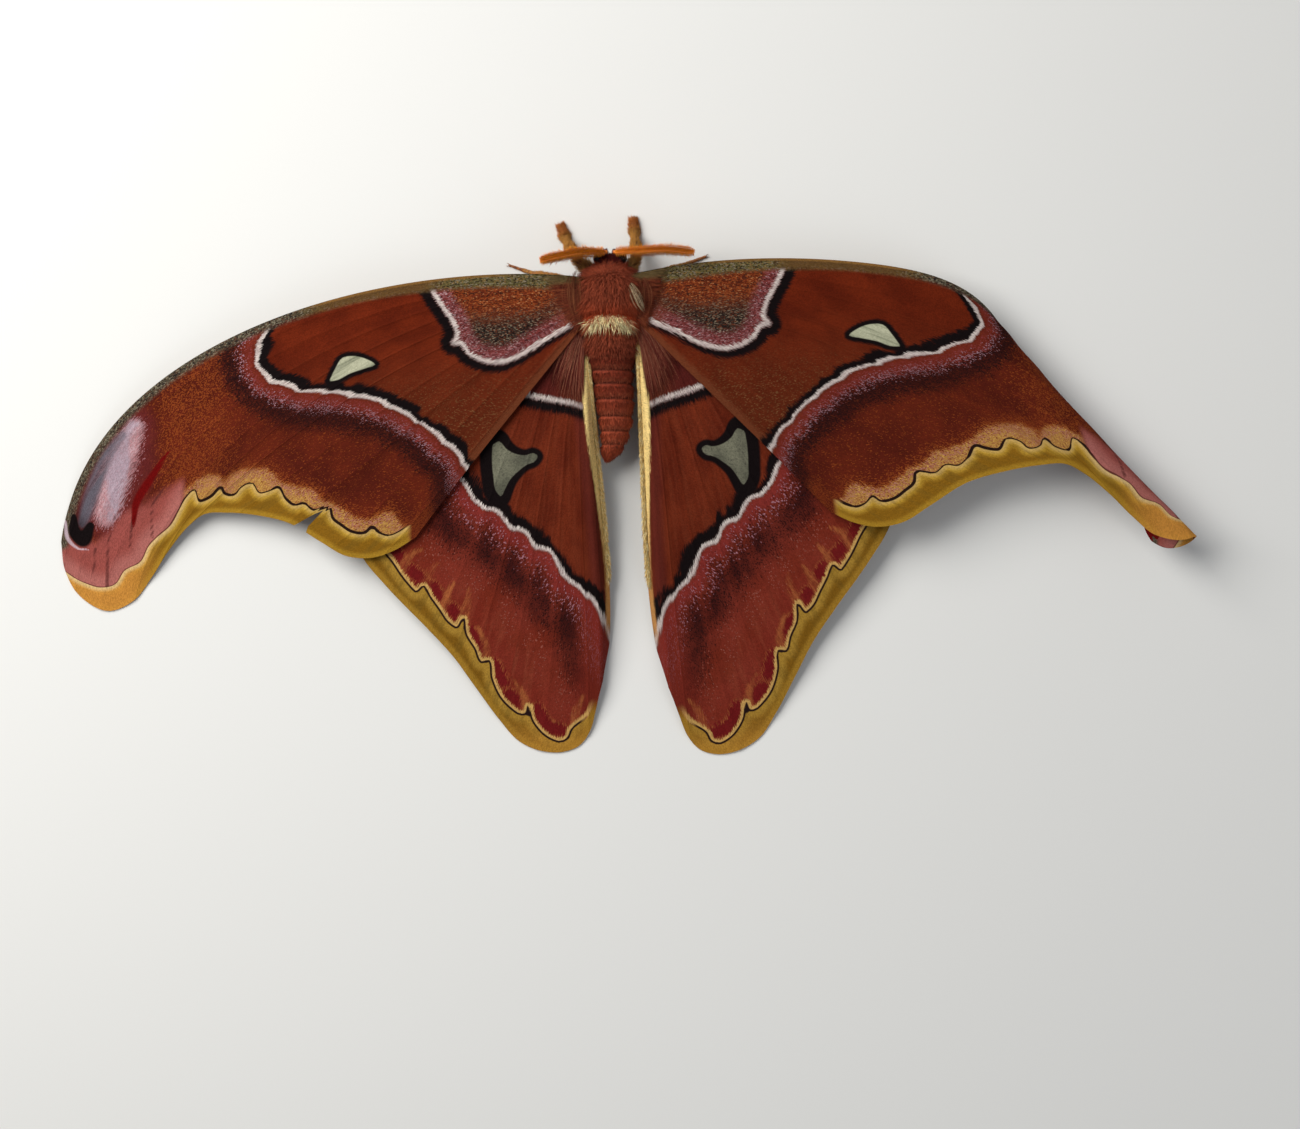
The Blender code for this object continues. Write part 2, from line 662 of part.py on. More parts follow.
def main():
    for obj in list(bpy.data.objects):
        bpy.data.objects.remove(obj)
    fur = material("body_fur", (0.24, 0.035, 0.012), 0.8)
    scales = material("wing_scales", (0.28, 0.040, 0.014), 0.75)
    feeler = material("feeler_comb", (0.62, 0.22, 0.03), 0.6)
    eye_black = material("eye_black", (0.02, 0.012, 0.010), 0.25)
    leg_fur = material("leg_fur", (0.45, 0.20, 0.06), 0.8)

    thorax("thorax", fur)
    skull = head("head", fur)
    cut_clear(skull, lambda gap: thorax("cutter", fur, grow=gap))
    tail = abdomen("abdomen", fur)
    cut_clear(tail, lambda gap: thorax("cutter", fur, grow=gap))
    for side in (LEFT, RIGHT):
        word = SIDE_NAMES[side]
        eye("eye_" + word, side, eye_black)
        cut_clear(skull, lambda gap, s=side: eye("cutter", s, fur, grow=gap))
        feather = antenna(side, feeler)
        cut_clear(feather, lambda gap: head("cutter", fur, grow=gap))
        cut_clear(feather, lambda gap, s=side: eye("cutter", s, fur, grow=gap))
        front = wing(
            "forewing_" + word, FOREWING, forewing_surface, FOREWING_ROWS, side, scales,
            torn=side == LEFT,
        )
        cut_clear(front, lambda gap: thorax("cutter", fur, grow=gap))
        back = wing("hindwing_" + word, HINDWING, hindwing_surface, HINDWING_ROWS, side, scales)
        cut_clear(back, lambda gap: thorax("cutter", fur, grow=gap))
        cut_clear(back, lambda gap: abdomen("cutter", fur, grow=gap))
        for kind in ("foreleg", "midleg", "hindleg"):
            limb = leg(f"{kind}_{word}", LEG_JOINTS[kind, side], LEG_FULLNESS[kind], leg_fur)
            cut_clear(limb, lambda gap: thorax("cutter", fur, grow=gap))
            if kind == "foreleg":
                cut_clear(limb, lambda gap: head("cutter", fur, grow=gap))
    for obj in bpy.context.scene.objects:
        obj.data.shade_smooth()
        obj.data.set_sharp_from_angle(angle=SHARP_EDGE)


main()
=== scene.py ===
# %% [markdown]
# # A male atlas moth, resting with its wings spread
#
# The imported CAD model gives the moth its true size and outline: two wings on
# each side, a thorax, head and abdomen, eyes, comb-like feelers and six legs. This script
# dresses it. Wings, skin and legs are surfaces worked out with numpy from the same
# formulas as the CAD, only finer. The scales on the wings are procedural materials, and the
# fur is thousands of small solid tufts. Lengths are written in millimetres.

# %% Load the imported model
import math

import bpy
import numpy as np
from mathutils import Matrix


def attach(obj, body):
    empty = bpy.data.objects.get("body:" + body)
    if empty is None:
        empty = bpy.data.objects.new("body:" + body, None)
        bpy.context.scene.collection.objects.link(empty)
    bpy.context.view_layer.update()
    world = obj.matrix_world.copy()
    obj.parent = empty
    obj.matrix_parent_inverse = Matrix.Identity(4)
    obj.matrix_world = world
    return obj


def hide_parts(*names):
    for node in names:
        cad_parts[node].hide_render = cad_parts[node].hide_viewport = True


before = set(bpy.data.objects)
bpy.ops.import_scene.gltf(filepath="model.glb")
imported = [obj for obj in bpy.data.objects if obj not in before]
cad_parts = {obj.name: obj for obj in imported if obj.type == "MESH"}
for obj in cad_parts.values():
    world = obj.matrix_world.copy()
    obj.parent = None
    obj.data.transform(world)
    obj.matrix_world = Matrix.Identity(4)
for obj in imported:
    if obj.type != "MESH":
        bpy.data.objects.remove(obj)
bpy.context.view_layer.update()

# %% Units and small shaping functions
MM = 0.001
LEFT, RIGHT = -1, 1
SIDE_NAMES = {LEFT: "left", RIGHT: "right"}
UP = np.array([0.0, 0.0, 1.0])
TINY = 1e-9


def smoothstep(value, low, high):
    """0 below low, 1 above high, and an even S-curve t * t * (3 - 2t) between."""
    t = np.clip((np.asarray(value, float) - low) / (high - low), 0.0, 1.0)
    return t * t * (3 - 2 * t)


def bell(value, centre, half_width):
    """exp(-((value - centre) / half_width) squared): 1 at the centre, falling off both ways."""
    return np.exp(-(((np.asarray(value, float) - centre) / half_width) ** 2))


def unit(vectors):
    """Each vector divided by its own length."""
    return vectors / np.maximum(np.linalg.norm(vectors, axis=-1, keepdims=True), TINY)


def spline(points, t):
    """A smooth curve through the points, at t from 0 to 1 of its chord length.

    Between two points it is the cubic that leaves and arrives with the mean slope there.
    """
    points = np.asarray(points, float)
    steps = np.linalg.norm(np.diff(points, axis=0), axis=1)
    knots = np.concatenate([[0.0], np.cumsum(steps)]) / steps.sum()
    slopes = np.gradient(points, knots, axis=0)
    t = np.clip(np.asarray(t, float), 0.0, 1.0)
    i = np.clip(np.searchsorted(knots, t, side="right") - 1, 0, len(steps) - 1)
    span = (knots[i + 1] - knots[i])[..., None]
    s = ((t - knots[i]) / (knots[i + 1] - knots[i]))[..., None]
    return (
        (1 + 2 * s) * (1 - s) ** 2 * points[i]
        + s * (1 - s) ** 2 * span * slopes[i]
        + s * s * (3 - 2 * s) * points[i + 1]
        + s * s * (s - 1) * span * slopes[i + 1]
    )


def smooth_line(points, steps=160):
    """The spline through the points as a fine polyline."""
    return spline(points, np.linspace(0, 1, steps))


# %% [markdown]
# ## From arrays to a mesh
#
# Every piece below ends as two arrays: its points, and the corner numbers of its faces.
# One function turns them into an object. It writes whole arrays with foreach_set, which
# takes a fraction of a second even for a wing, where adding vertices one by one would
# take minutes. Whatever a material needs to know at a point, such as how far it lies
# from a marking, is stored beside it as a named attribute.

# %% Build an object from arrays


def make_piece(name, points, faces, materials, face_material=None):
    """A mesh object from points in millimetres and a list of face arrays, riding on the body."""
    mesh = bpy.data.meshes.new(name)
    corners = np.concatenate([np.asarray(f).reshape(-1) for f in faces]).astype(np.int32)
    sizes = np.concatenate([np.full(len(f), np.shape(f)[1]) for f in faces])
    starts = np.concatenate([[0], np.cumsum(sizes)[:-1]]).astype(np.int32)
    mesh.vertices.add(len(points))
    mesh.vertices.foreach_set("co", (np.asarray(points, float) * MM).astype(np.float32).ravel())
    mesh.loops.add(len(corners))
    mesh.loops.foreach_set("vertex_index", corners)
    mesh.polygons.add(len(sizes))
    mesh.polygons.foreach_set("loop_start", starts)
    if face_material is not None:
        mesh.polygons.foreach_set("material_index", np.asarray(face_material, np.int32))
    mesh.update(calc_edges=True)
    mesh.validate()
    mesh.shade_smooth()
    for material in materials:
        mesh.materials.append(material)
    piece = bpy.data.objects.new(name, mesh)
    bpy.context.scene.collection.objects.link(piece)
    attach(piece, "root")
    return piece


def store(piece, **values):
    """Stores arrays at the vertices: one column makes a float attribute, three a vector."""
    for name, value in values.items():
        value = np.asarray(value, np.float32)
        vector = value.ndim > 1
        kind, key = ("FLOAT_VECTOR", "vector") if vector else ("FLOAT", "value")
        attribute = piece.data.attributes.new(name, kind, "POINT")
        attribute.data.foreach_set(key, value.ravel())


def store_uv(piece, name, uv):
    """Gives every face corner its vertex's place on a map."""
    layer = piece.data.uv_layers.new(name=name)
    vertex = np.zeros(len(piece.data.loops), np.int32)
    piece.data.loops.foreach_get("vertex_index", vertex)
    layer.data.foreach_set("uv", np.asarray(uv, np.float32)[vertex].ravel())


def grid_quads(rows, columns, wrap=False):
    """Corner numbers of a grid's quads, facing up when columns run right and rows run up.

    With wrap, the last column joins the first, as round a tube.
    """
    index = np.arange(rows * columns).reshape(rows, columns)
    if wrap:
        index = np.concatenate([index, index[:, :1]], axis=1)
    a, b = index[:-1, :-1], index[:-1, 1:]
    c, d = index[1:, 1:], index[1:, :-1]
    return np.stack([a, b, c, d], axis=-1).reshape(-1, 4)


# %% [markdown]
# ## Floor, light and camera
#
# The moth lies on a plain pale floor. The camera looks straight down from 77 cm with a
# long lens, as the photograph was taken square to the wings. One broad soft lamp from the
# upper left stands for daylight, with a weaker one opposite and a dim even sky, so the
# veins and fur throw short, soft shadows.

# %% Floor, lamps and camera
CAMERA_AT = (5.44, -16.4, 770.0)
CAMERA_LENS = 99.97
FLOOR_SIZE = 6000.0
FLOOR_COLOUR = (0.76, 0.76, 0.7448, 1)
LAMPS = {
    "window_light": ((-350.0, 240.0, 410.0), 440.0, 4.5, (1.0, 0.98, 0.94)),
    "fill_light": ((520.0, -300.0, 560.0), 600.0, 1.1, (0.95, 0.97, 1.0)),
}
SKY_COLOUR, SKY_STRENGTH = (0.93, 0.96, 1.0, 1), 0.21


def aim(thing, target):
    """Turns a camera or lamp so that its -Z axis points at the target."""
    x, y, z = np.asarray(target, float) - np.asarray(thing.location)
    thing.rotation_euler = (math.atan2(math.hypot(x, y), -z), 0, math.atan2(-x, y))


def make_floor():
    """A flat pale square under the moth."""
    half = FLOOR_SIZE / 2 * MM
    mesh = bpy.data.meshes.new("floor")
    corners = [(-half, -half, 0), (half, -half, 0), (half, half, 0), (-half, half, 0)]
    mesh.from_pydata(corners, [], [(0, 1, 2, 3)])
    floor = bpy.data.objects.new("floor", mesh)
    bpy.context.scene.collection.objects.link(floor)
    material = bpy.data.materials.new("pale_floor")
    material.use_nodes = True
    shader = material.node_tree.nodes["Principled BSDF"]
    shader.inputs["Base Color"].default_value = FLOOR_COLOUR
    shader.inputs["Roughness"].default_value = 0.9
    mesh.materials.append(material)


def make_lamps():
    """Square area lamps, aimed at the moth."""
    for name, (place, size, power, colour) in LAMPS.items():
        light = bpy.data.lights.new(name, "AREA")
        light.shape = "SQUARE"
        light.size = size * MM
        light.energy = power
        light.color = colour
        lamp = bpy.data.objects.new(name, light)
        lamp.location = tuple(c * MM for c in place)
        aim(lamp, (0, 0, 0))
        bpy.context.scene.collection.objects.link(lamp)
    world = bpy.data.worlds.new("soft_sky")
    bpy.context.scene.world = world
    world.use_nodes = True
    sky = world.node_tree.nodes["Background"].inputs
    sky["Color"].default_value = SKY_COLOUR
    sky["Strength"].default_value = SKY_STRENGTH


def make_camera():
    """The photograph's view: straight down, head towards the top of the frame."""
    camera = bpy.data.objects.new("camera", bpy.data.cameras.new("camera"))
    camera.data.lens = CAMERA_LENS
    camera.data.sensor_width = 36.0
    camera.location = tuple(c * MM for c in CAMERA_AT)
    bpy.context.scene.collection.objects.link(camera)
    bpy.context.scene.camera = camera


make_floor()
make_lamps()
make_camera()
bpy.context.scene.view_settings.view_transform = "Standard"
print("camera", CAMERA_AT, "lens", CAMERA_LENS)

# %% [markdown]
# ## Short words for shader nodes
#
# A wing needs dozens of nodes, and each one made by hand takes four lines. The small
# class below adds a node and joins its inputs in one call, and gives back the output, so a
# material reads like a recipe: this colour, then that colour where this mask is 1.

# %% A helper that adds shader nodes


def linear_rgb(red, green, blue):
    """A colour as a screen shows it, 0 to 255, turned to the linear values that light adds up in."""
    c = np.array([red, green, blue]) / 255.0
    return np.where(c <= 0.04045, c / 12.92, ((c + 0.055) / 1.055) ** 2.4)


def srgb(red, green, blue):
    """The same, as the four numbers of a shader's colour."""
    return tuple(float(x) for x in linear_rgb(red, green, blue)) + (1.0,)


class Paint:
    """Adds nodes to one shader tree. A colour, number or other output may feed any input."""

    def __init__(self, tree):
        """Starts on a tree, with no coat of paint yet."""
        self.tree = tree
        self.coat = None

    def node(self, kind, inputs=(), **settings):
        """A new node with its settings, and its inputs by name or number fed with values."""
        made = self.tree.nodes.new("ShaderNode" + kind)
        for key, value in settings.items():
            setattr(made, key, value)
        for key, value in dict(inputs).items():
            self.feed(made.inputs[key], value)
        return made

    def feed(self, socket, value):
        """Links an output to a socket, or sets the socket's own value."""
        if isinstance(value, bpy.types.NodeSocket):
            self.tree.links.new(value, socket)
        else:
            socket.default_value = value

    def value(self, name):
        """A float attribute stored at the vertices."""
        return self.node("Attribute", attribute_name=name).outputs["Fac"]

    def vector(self, name):
        """A vector attribute stored at the vertices."""
        return self.node("Attribute", attribute_name=name).outputs["Vector"]

    def sum(self, operation, *terms):
        """One Math node."""
        return self.node("Math", dict(enumerate(terms)), operation=operation).outputs[0]

    def times(self, *masks):
        """Masks multiplied together."""
        result = masks[0]
        for mask in masks[1:]:
            result = self.sum("MULTIPLY", result, mask)
        return result

    def ramp(self, value, low, high, start=0.0, end=1.0):
        """Goes smoothly from start at low to end at high."""
        inputs = {"Value": value, "From Min": low, "From Max": high, "To Min": start, "To Max": end}
        return self.node("MapRange", inputs, interpolation_type="SMOOTHSTEP").outputs["Result"]

    def blend(self, share, first, second):
        """The first colour where share is 0, the second where it is 1."""
        made = self.node("Mix", data_type="RGBA")
        for key, value in ((0, share), (6, first), (7, second)):
            self.feed(made.inputs[key], value)
        return made.outputs[2]

    def choose(self, pick, colours):
        """One of several colours by a random pick from 0 to 1. Each comes with its share."""
        made = self.node("ValToRGB", {"Fac": pick})
        ramp = made.color_ramp
        ramp.interpolation = "CONSTANT"
        total = sum(share for share, _ in colours)
        at = 0.0
        for number, (share, colour) in enumerate(colours):
            stop = ramp.elements[0] if number == 0 else ramp.elements.new(at / total)
            stop.position = at / total
            stop.color = colour
            at += share
        ramp.elements.remove(ramp.elements[len(colours)])
        return made.outputs["Color"]

    def lay(self, colour, *masks):
        """Lays a colour over the coat of paint so far, where all the masks are 1."""
        self.coat = self.blend(self.times(*masks), self.coat, colour)

    def ragged(self, distance, amount):
        """A distance pushed to and fro by the wing's hair-fine streaks, half the amount each way."""
        push = self.sum("MULTIPLY_ADD", self.hair, amount, -amount / 2)
        return self.sum("ADD", distance, push)

    def lit(self, colour, light):
        """A colour made lighter or darker by a number round 1."""
        return self.node("VectorMath", {0: colour, "Scale": light}, operation="SCALE").outputs[0]

    def stretched_noise(self, vector, stretch, detail):
        """Noise drawn out by three numbers, one for each axis."""
        inputs = {0: vector, 1: stretch}
        place = self.node("VectorMath", inputs, operation="MULTIPLY").outputs[0]
        return self.node("TexNoise", {"Vector": place, "Scale": 1.0, "Detail": detail}).outputs["Fac"]

    def relief(self, shader, height, strength, depth):
        """Lets a height from 0 to 1 shade the surface as if it stood up by depth millimetres."""
        bump = self.node("Bump", {"Height": height, "Strength": strength, "Distance": depth * MM})
        self.feed(shader.inputs["Normal"], bump.outputs["Normal"])

    def use(self, group, **inputs):
        """Places a node group and feeds its inputs. Underscores stand for spaces."""
        made = self.node("Group", node_tree=group)
        for key, value in inputs.items():
            self.feed(made.inputs[key.replace("_", " ")], value)
        return made


def new_material(name, specular=None):
    """A material with the Paint that fills its tree, and its Principled shader."""
    material = bpy.data.materials.new(name)
    material.use_nodes = True
    shader = material.node_tree.nodes["Principled BSDF"]
    if specular is not None:
        shader.inputs["Specular IOR Level"].default_value = specular
    return material, Paint(material.node_tree), shader


def new_group(name, inputs, outputs):
    """An empty shader node group with named inputs and outputs, and the Paint that fills it."""
    group = bpy.data.node_groups.new(name, "ShaderNodeTree")
    for socket, kind, default in inputs:
        made = group.interface.new_socket(socket, in_out="INPUT", socket_type="NodeSocket" + kind)
        if default is not None:
            made.default_value = default
    for socket, kind in outputs:
        group.interface.new_socket(socket, in_out="OUTPUT", socket_type="NodeSocket" + kind)
    paint = Paint(group)
    paint.given = group.nodes.new("NodeGroupInput").outputs
    paint.result = group.nodes.new("NodeGroupOutput").inputs
    return group, paint


# %% [markdown]
# ## Effects that several finishes share
#
# A moth's wing is tiled with flat scales in rows, each one colour, so up close every
# marking is a scatter of specks, and its edges are ragged along the way the scales lie.
# Four groups do this everywhere: one makes the cells of the scales, one makes fine
# streaks along the veins, one cuts a band with frayed edges out of a distance, and one
# picks out a share of the scales.

# %% Node groups: scales, streaks, frayed band and sprinkled scales


def make_scales_group():
    """Cells of a Voronoi pattern, longer along the vein: a random pick each, and a domed height."""
    group, paint = new_group(
        "Wing scales",
        [("Flow", "Vector", None), ("Length", "Float", 0.27), ("Width", "Float", 0.18)],
        [("Pick", "Float"), ("Shade", "Float"), ("Height", "Float")],
    )
    size = paint.node("CombineXYZ", {"X": paint.given["Length"], "Y": paint.given["Width"], "Z": 1.0})
    cell_at = paint.node("VectorMath", {0: paint.given["Flow"], 1: size.outputs[0]}, operation="DIVIDE")
    cells = paint.node("TexVoronoi", {"Vector": cell_at.outputs[0], "Scale": 1.0, "Randomness": 0.9})
    random = paint.node("SeparateColor", {"Color": cells.outputs["Color"]})
    paint.feed(paint.result["Pick"], random.outputs["Red"])
    paint.feed(paint.result["Shade"], random.outputs["Green"])
    paint.feed(paint.result["Height"], paint.ramp(cells.outputs["Distance"], 0.1, 0.75, 1.0, 0.0))
    return group


def make_streaks_group():
    """Noise stretched along the veins: hair-fine, and in broad soft strokes.

    Fan is the length along the vein and the place across the fan. A vein's neighbours draw
    together towards the root, so the fine noise near the root is a coarser one, faded in.
    """
    group, paint = new_group(
        "Vein streaks",
        [("Fan", "Vector", None), ("Reach", "Float", 0.5)],
        [("Hair", "Float"), ("Stroke", "Float"), ("Cloud", "Float")],
    )

    def streaked(along, across, detail):
        """Noise so many times finer along and across the veins, with its contrast raised."""
        return paint.ramp(paint.stretched_noise(paint.given["Fan"], (along, across, 1.0), detail), 0.3, 0.7)

    near, middle, far = streaked(0.6, 110.0, 2.0), streaked(0.55, 260.0, 2.0), streaked(0.5, 500.0, 2.0)
    near_share = paint.ramp(paint.given["Reach"], 0.16, 0.3)
    far_share = paint.ramp(paint.given["Reach"], 0.42, 0.62)
    hair = paint.sum("MULTIPLY_ADD", near_share, paint.sum("SUBTRACT", middle, near), near)
    hair = paint.sum("MULTIPLY_ADD", far_share, paint.sum("SUBTRACT", far, hair), hair)
    paint.feed(paint.result["Hair"], hair)
    paint.feed(paint.result["Stroke"], streaked(0.07, 48.0, 3.0))
    paint.feed(paint.result["Cloud"], streaked(0.11, 8.0, 3.0))
    return group


def make_band_group():
    """1 where the distance lies between From and To, with each edge pushed to and fro by Hair."""
    group, paint = new_group(
        "Frayed band",
        [
            ("Distance", "Float", 0.0), ("Hair", "Float", 0.5), ("From", "Float", 0.0),
            ("To", "Float", 1.0), ("Fray", "Float", 0.3), ("Softness", "Float", 0.2),
        ],
        [("Mask", "Float")],
    )
    given = paint.given
    push = paint.sum("MULTIPLY", paint.sum("SUBTRACT", given["Hair"], 0.5), given["Fray"])
    pushed = paint.sum("ADD", given["Distance"], push)

    def edge(at, before, after):
        """Goes from before to after within the softness of one edge of the band."""
        low, high = (paint.sum(word, given[at], given["Softness"]) for word in ("SUBTRACT", "ADD"))
        return paint.ramp(pushed, low, high, before, after)

    paint.feed(paint.result["Mask"], paint.times(edge("From", 0.0, 1.0), edge("To", 1.0, 0.0)))
    return group


def make_sprinkle_group():
    """Picks out single scales: 1 in a scale whose random pick is below the density there."""
    group, paint = new_group(
        "Sprinkled scales", [("Pick", "Float", 0.5), ("Density", "Float", 0.5)], [("Mask", "Float")]
    )
    over = paint.sum("SUBTRACT", paint.given["Density"], paint.given["Pick"])
    paint.feed(paint.result["Mask"], paint.ramp(over, 0.0, 0.02))
    return group


SCALES = make_scales_group()
STREAKS = make_streaks_group()
BAND = make_band_group()
SPRINKLE = make_sprinkle_group()
print("node groups:", [group.name for group in (SCALES, STREAKS, BAND, SPRINKLE)])

# %% [markdown]
# ## The plan of a wing
#
# A wing is a fan of veins. Here each vein is a cubic Bezier from the short root line at
# the thorax to the outer margin, and the wing is swept through by two numbers: u runs
# along a vein, from 0 at the root to 1 at the margin, and v across the fan, from 0 at
# the leading edge to 1 at the inner margin. X and Y of the plan are the same for the
# left and right wings, so the markings are worked out only once.

# %% Wing plans
THORAX_AT = np.array([-3.2, 39.4])
THORAX_ORIGIN = np.append(THORAX_AT, 0.0)
MEMBRANE_HALF = 0.2
CAD_MEMBRANE_HALF = 0.25
WING_REACH = np.array([130.0, 93.0])
WING_HEIGHT = 11.0
DOME_POWER = 1.6
FOREWING_LIFT = 1.35
FOREWING_SWING = math.radians(7.0)
HINDWING_SWING = math.radians(8.0)
HINDWING_STRETCH = 1.03
INNER_FOLD = 3.0


class WingPlan:
    """A wing's outline and veins, in millimetres out from the body and ahead of its centre."""

    def __init__(self, root, start_pull, end_pulls, margin, veins):
        """Keeps the root line's two ends, the pulls of the Beziers, the margin and the veins' v."""
        self.root = np.array(root, float)
        self.start_pull = np.array(start_pull, float)
        self.end_pulls = end_pulls
        self.margin = margin
        self.veins = veins

    def at(self, u, v):
        """The point u of the way along the vein at v, on that vein's Bezier."""
        u = np.asarray(u, float)[..., None]
        across = np.asarray(v, float)[..., None]
        start = self.root[0] * (1 - across) + self.root[1] * across
        end = spline(self.margin, v)
        knots, pulls = (np.array(column) for column in zip(*self.end_pulls))
        pull = np.stack([np.interp(v, knots, pulls[:, axis]) for axis in (0, 1)], axis=-1)
        first = start + self.start_pull[0] * (1 - across) + self.start_pull[1] * across
        second = end + pull
        return (1 - u) ** 3 * start + 3 * u * (1 - u) ** 2 * first + 3 * u * u * (1 - u) * second + u**3 * end

    def edge(self, v=None, steps=240):
        """A polyline along the outer margin, or along the vein or edge at v."""
        t = np.linspace(0, 1, steps)
        return spline(self.margin, t) if v is None else self.at(t, np.full(steps, v))


FOREWING = WingPlan(
    root=[(4.6, 4.4), (4.6, -4.6)],
    start_pull=[(41.4, 4.8), (12.4, -15.6)],
    end_pulls=[
        (0.0, (-5.5, 43.2)), (0.20, (-6.0, 42.0)), (0.33, (-12.0, 30.0)), (0.47, (-20.0, 20.0)),
        (0.60, (-24.0, 15.0)), (0.80, (-22.0, 17.0)), (1.0, (-11.6, 15.6)),
    ],
    margin=[
        (116.9, -51.0), (116.1, -56.9), (113.3, -62.1), (106.6, -65.7),
        (101.6, -63.6), (97.6, -58.6), (93.7, -52.7), (89.4, -47.6),
        (86.2, -45.2), (80.9, -44.8), (74.5, -45.4), (68.1, -46.9),
        (60.7, -51.2), (55.6, -54.0), (50.4, -54.4), (45.4, -52.8), (40.8, -50.0),
    ],
    veins=[0.05, 0.11, 0.18, 0.26, 0.36, 0.47, 0.58, 0.69, 0.80, 0.92],
)
HINDWING = WingPlan(
    root=[(4.6, -1.2), (4.6, -6.0)],
    start_pull=[(21.0, -3.5), (-0.4, -20.0)],
    end_pulls=[
        (0.0, (-4.0, 18.0)), (0.30, (-14.0, 20.0)), (0.60, (-8.0, 28.0)),
        (0.80, (0.0, 30.0)), (1.0, (-0.9, 22.0)),
    ],
    margin=[
        (54.8, -45.5), (54.2, -50.5), (51.4, -55.6), (47.9, -59.7),
        (44.3, -63.6), (38.3, -69.7), (32.9, -75.7), (28.4, -82.0),
        (23.6, -88.6), (19.1, -93.6), (14.2, -95.6), (9.6, -95.7),
        (6.3, -94.3), (4.2, -91.4), (2.8, -86.4), (1.4, -79.6), (-0.1, -71.9),
    ],
    veins=[0.07, 0.19, 0.31, 0.43, 0.55, 0.67, 0.79, 0.91],
)
print("forewing span, mm:", round(float(np.linalg.norm(FOREWING.at(1, 0.1) - FOREWING.at(0, 0.1))), 1))

# %% [markdown]
# ## How the wings stand
#
# Spread wings aren't flat. They stand about a centimetre off the floor at the thorax and
# sink towards their margins. The left forewing rests on its tip. The right one is held a
# little higher, and its leading edge hangs down and curls right under at the tip, which
# shows the crimson of its underside. That curl is the sheet wrapped round a cone that
# gets tighter towards the tip.

# %% Wing surfaces
ROLL_FROM = np.array([62.9, -10.8])
ROLL_TO = np.array([105.6, -58.3])
LOBE_DRAWN_OUT = np.array([5.0, -1.0])
LOBE_TURNED_OVER = 3.0
ROLL_RADIUS = 14.0
ROLL_TIGHTENS_OVER = 60.0
ROLL_FLATTENED = 0.47
HANGING_TURN, TIP_TURN = 1.7, 2.45
TIP_BEGINS, TIP_ENDS = 60.0, 76.0
RIGHT_TIP_HEIGHT = 12.2


def dome(plan):
    """WING_HEIGHT * (1 - t to the DOME_POWER), where t is 0 at the thorax and 1 at WING_REACH."""
    t = np.hypot(plan[..., 0] / WING_REACH[0], plan[..., 1] / WING_REACH[1])
    return WING_HEIGHT * np.clip(1 - t**DOME_POWER, 0.0, None)


def roll_under(plan, height):
    """Wraps what lies ahead of the roll line round a cone, up to the most that it may turn."""
    along = unit(ROLL_TO - ROLL_FROM)
    ahead = np.array([-along[1], along[0]])
    drawn_out = LOBE_DRAWN_OUT * smoothstep(plan[..., :1], 50.0, 88.0)
    turned_over = LOBE_TURNED_OVER * ahead * smoothstep(plan[..., :1], 86.0, 112.0)
    plan = plan + drawn_out + turned_over
    offset = plan - ROLL_FROM
    down_line = offset @ along
    radius = ROLL_RADIUS * np.exp(-down_line / ROLL_TIGHTENS_OVER)
    past = np.clip(offset @ ahead, 0.0, None)
    most = HANGING_TURN + (TIP_TURN - HANGING_TURN) * smoothstep(down_line, TIP_BEGINS, TIP_ENDS)
    turn = np.minimum(past / radius, most)
    rest = past - radius * turn
    out = radius * np.sin(turn) + rest * np.cos(turn)
    drop = radius * (1 - np.cos(turn)) + rest * np.sin(turn)
    return plan + (out - past)[..., None] * ahead, height - ROLL_FLATTENED * drop


def to_floor(plan, height, side, swing, stretch=1.0):
    """Takes plan points and heights to where they stand. The right wings swing forward."""
    x, y = plan[..., 0], plan[..., 1]
    if side == RIGHT:
        c, s = math.cos(swing), math.sin(swing)
        x, y = c * x - s * y, stretch * (s * x + c * y)
    return np.stack([side * x + THORAX_AT[0], y + THORAX_AT[1], height], axis=-1)


def forewing_surface(u, v, side):
    """The middle of a forewing's membrane."""
    plan = FOREWING.at(u, v)
    free = smoothstep(plan[..., 0], 55.0, 95.0)
    height = CAD_MEMBRANE_HALF + dome(plan) + FOREWING_LIFT * (1 - free)
    if side == RIGHT:
        height = height + (RIGHT_TIP_HEIGHT - height) * smoothstep(plan[..., 0], 20.0, 90.0)
        plan, height = roll_under(plan, height)
    return to_floor(plan, height, side, FOREWING_SWING)


def hindwing_surface(u, v, side):
    """The middle of a hindwing's membrane, whose inner margin turns down beside the abdomen."""
    plan = HINDWING.at(u, v)
    turned_down = INNER_FOLD * smoothstep(v, 0.88, 1.0) * smoothstep(u, 0.08, 0.4)
    height = CAD_MEMBRANE_HALF + np.clip(dome(plan) - turned_down, 0.0, None)
    return to_floor(plan, height, side, HINDWING_SWING, HINDWING_STRETCH)


# %% [markdown]
# ## Where the markings lie
#
# The pattern is drawn once, on the plan, as a few lines through named points. A material
# can't follow a line, but it can read a number at each point of the mesh, so each line is
# turned into a distance: how many millimetres a point lies from it, positive on the side
# of the outer margin. A band, a border and a ragged edge are then all cut from that one
# number, and they stay crisp however coarse the grid is.

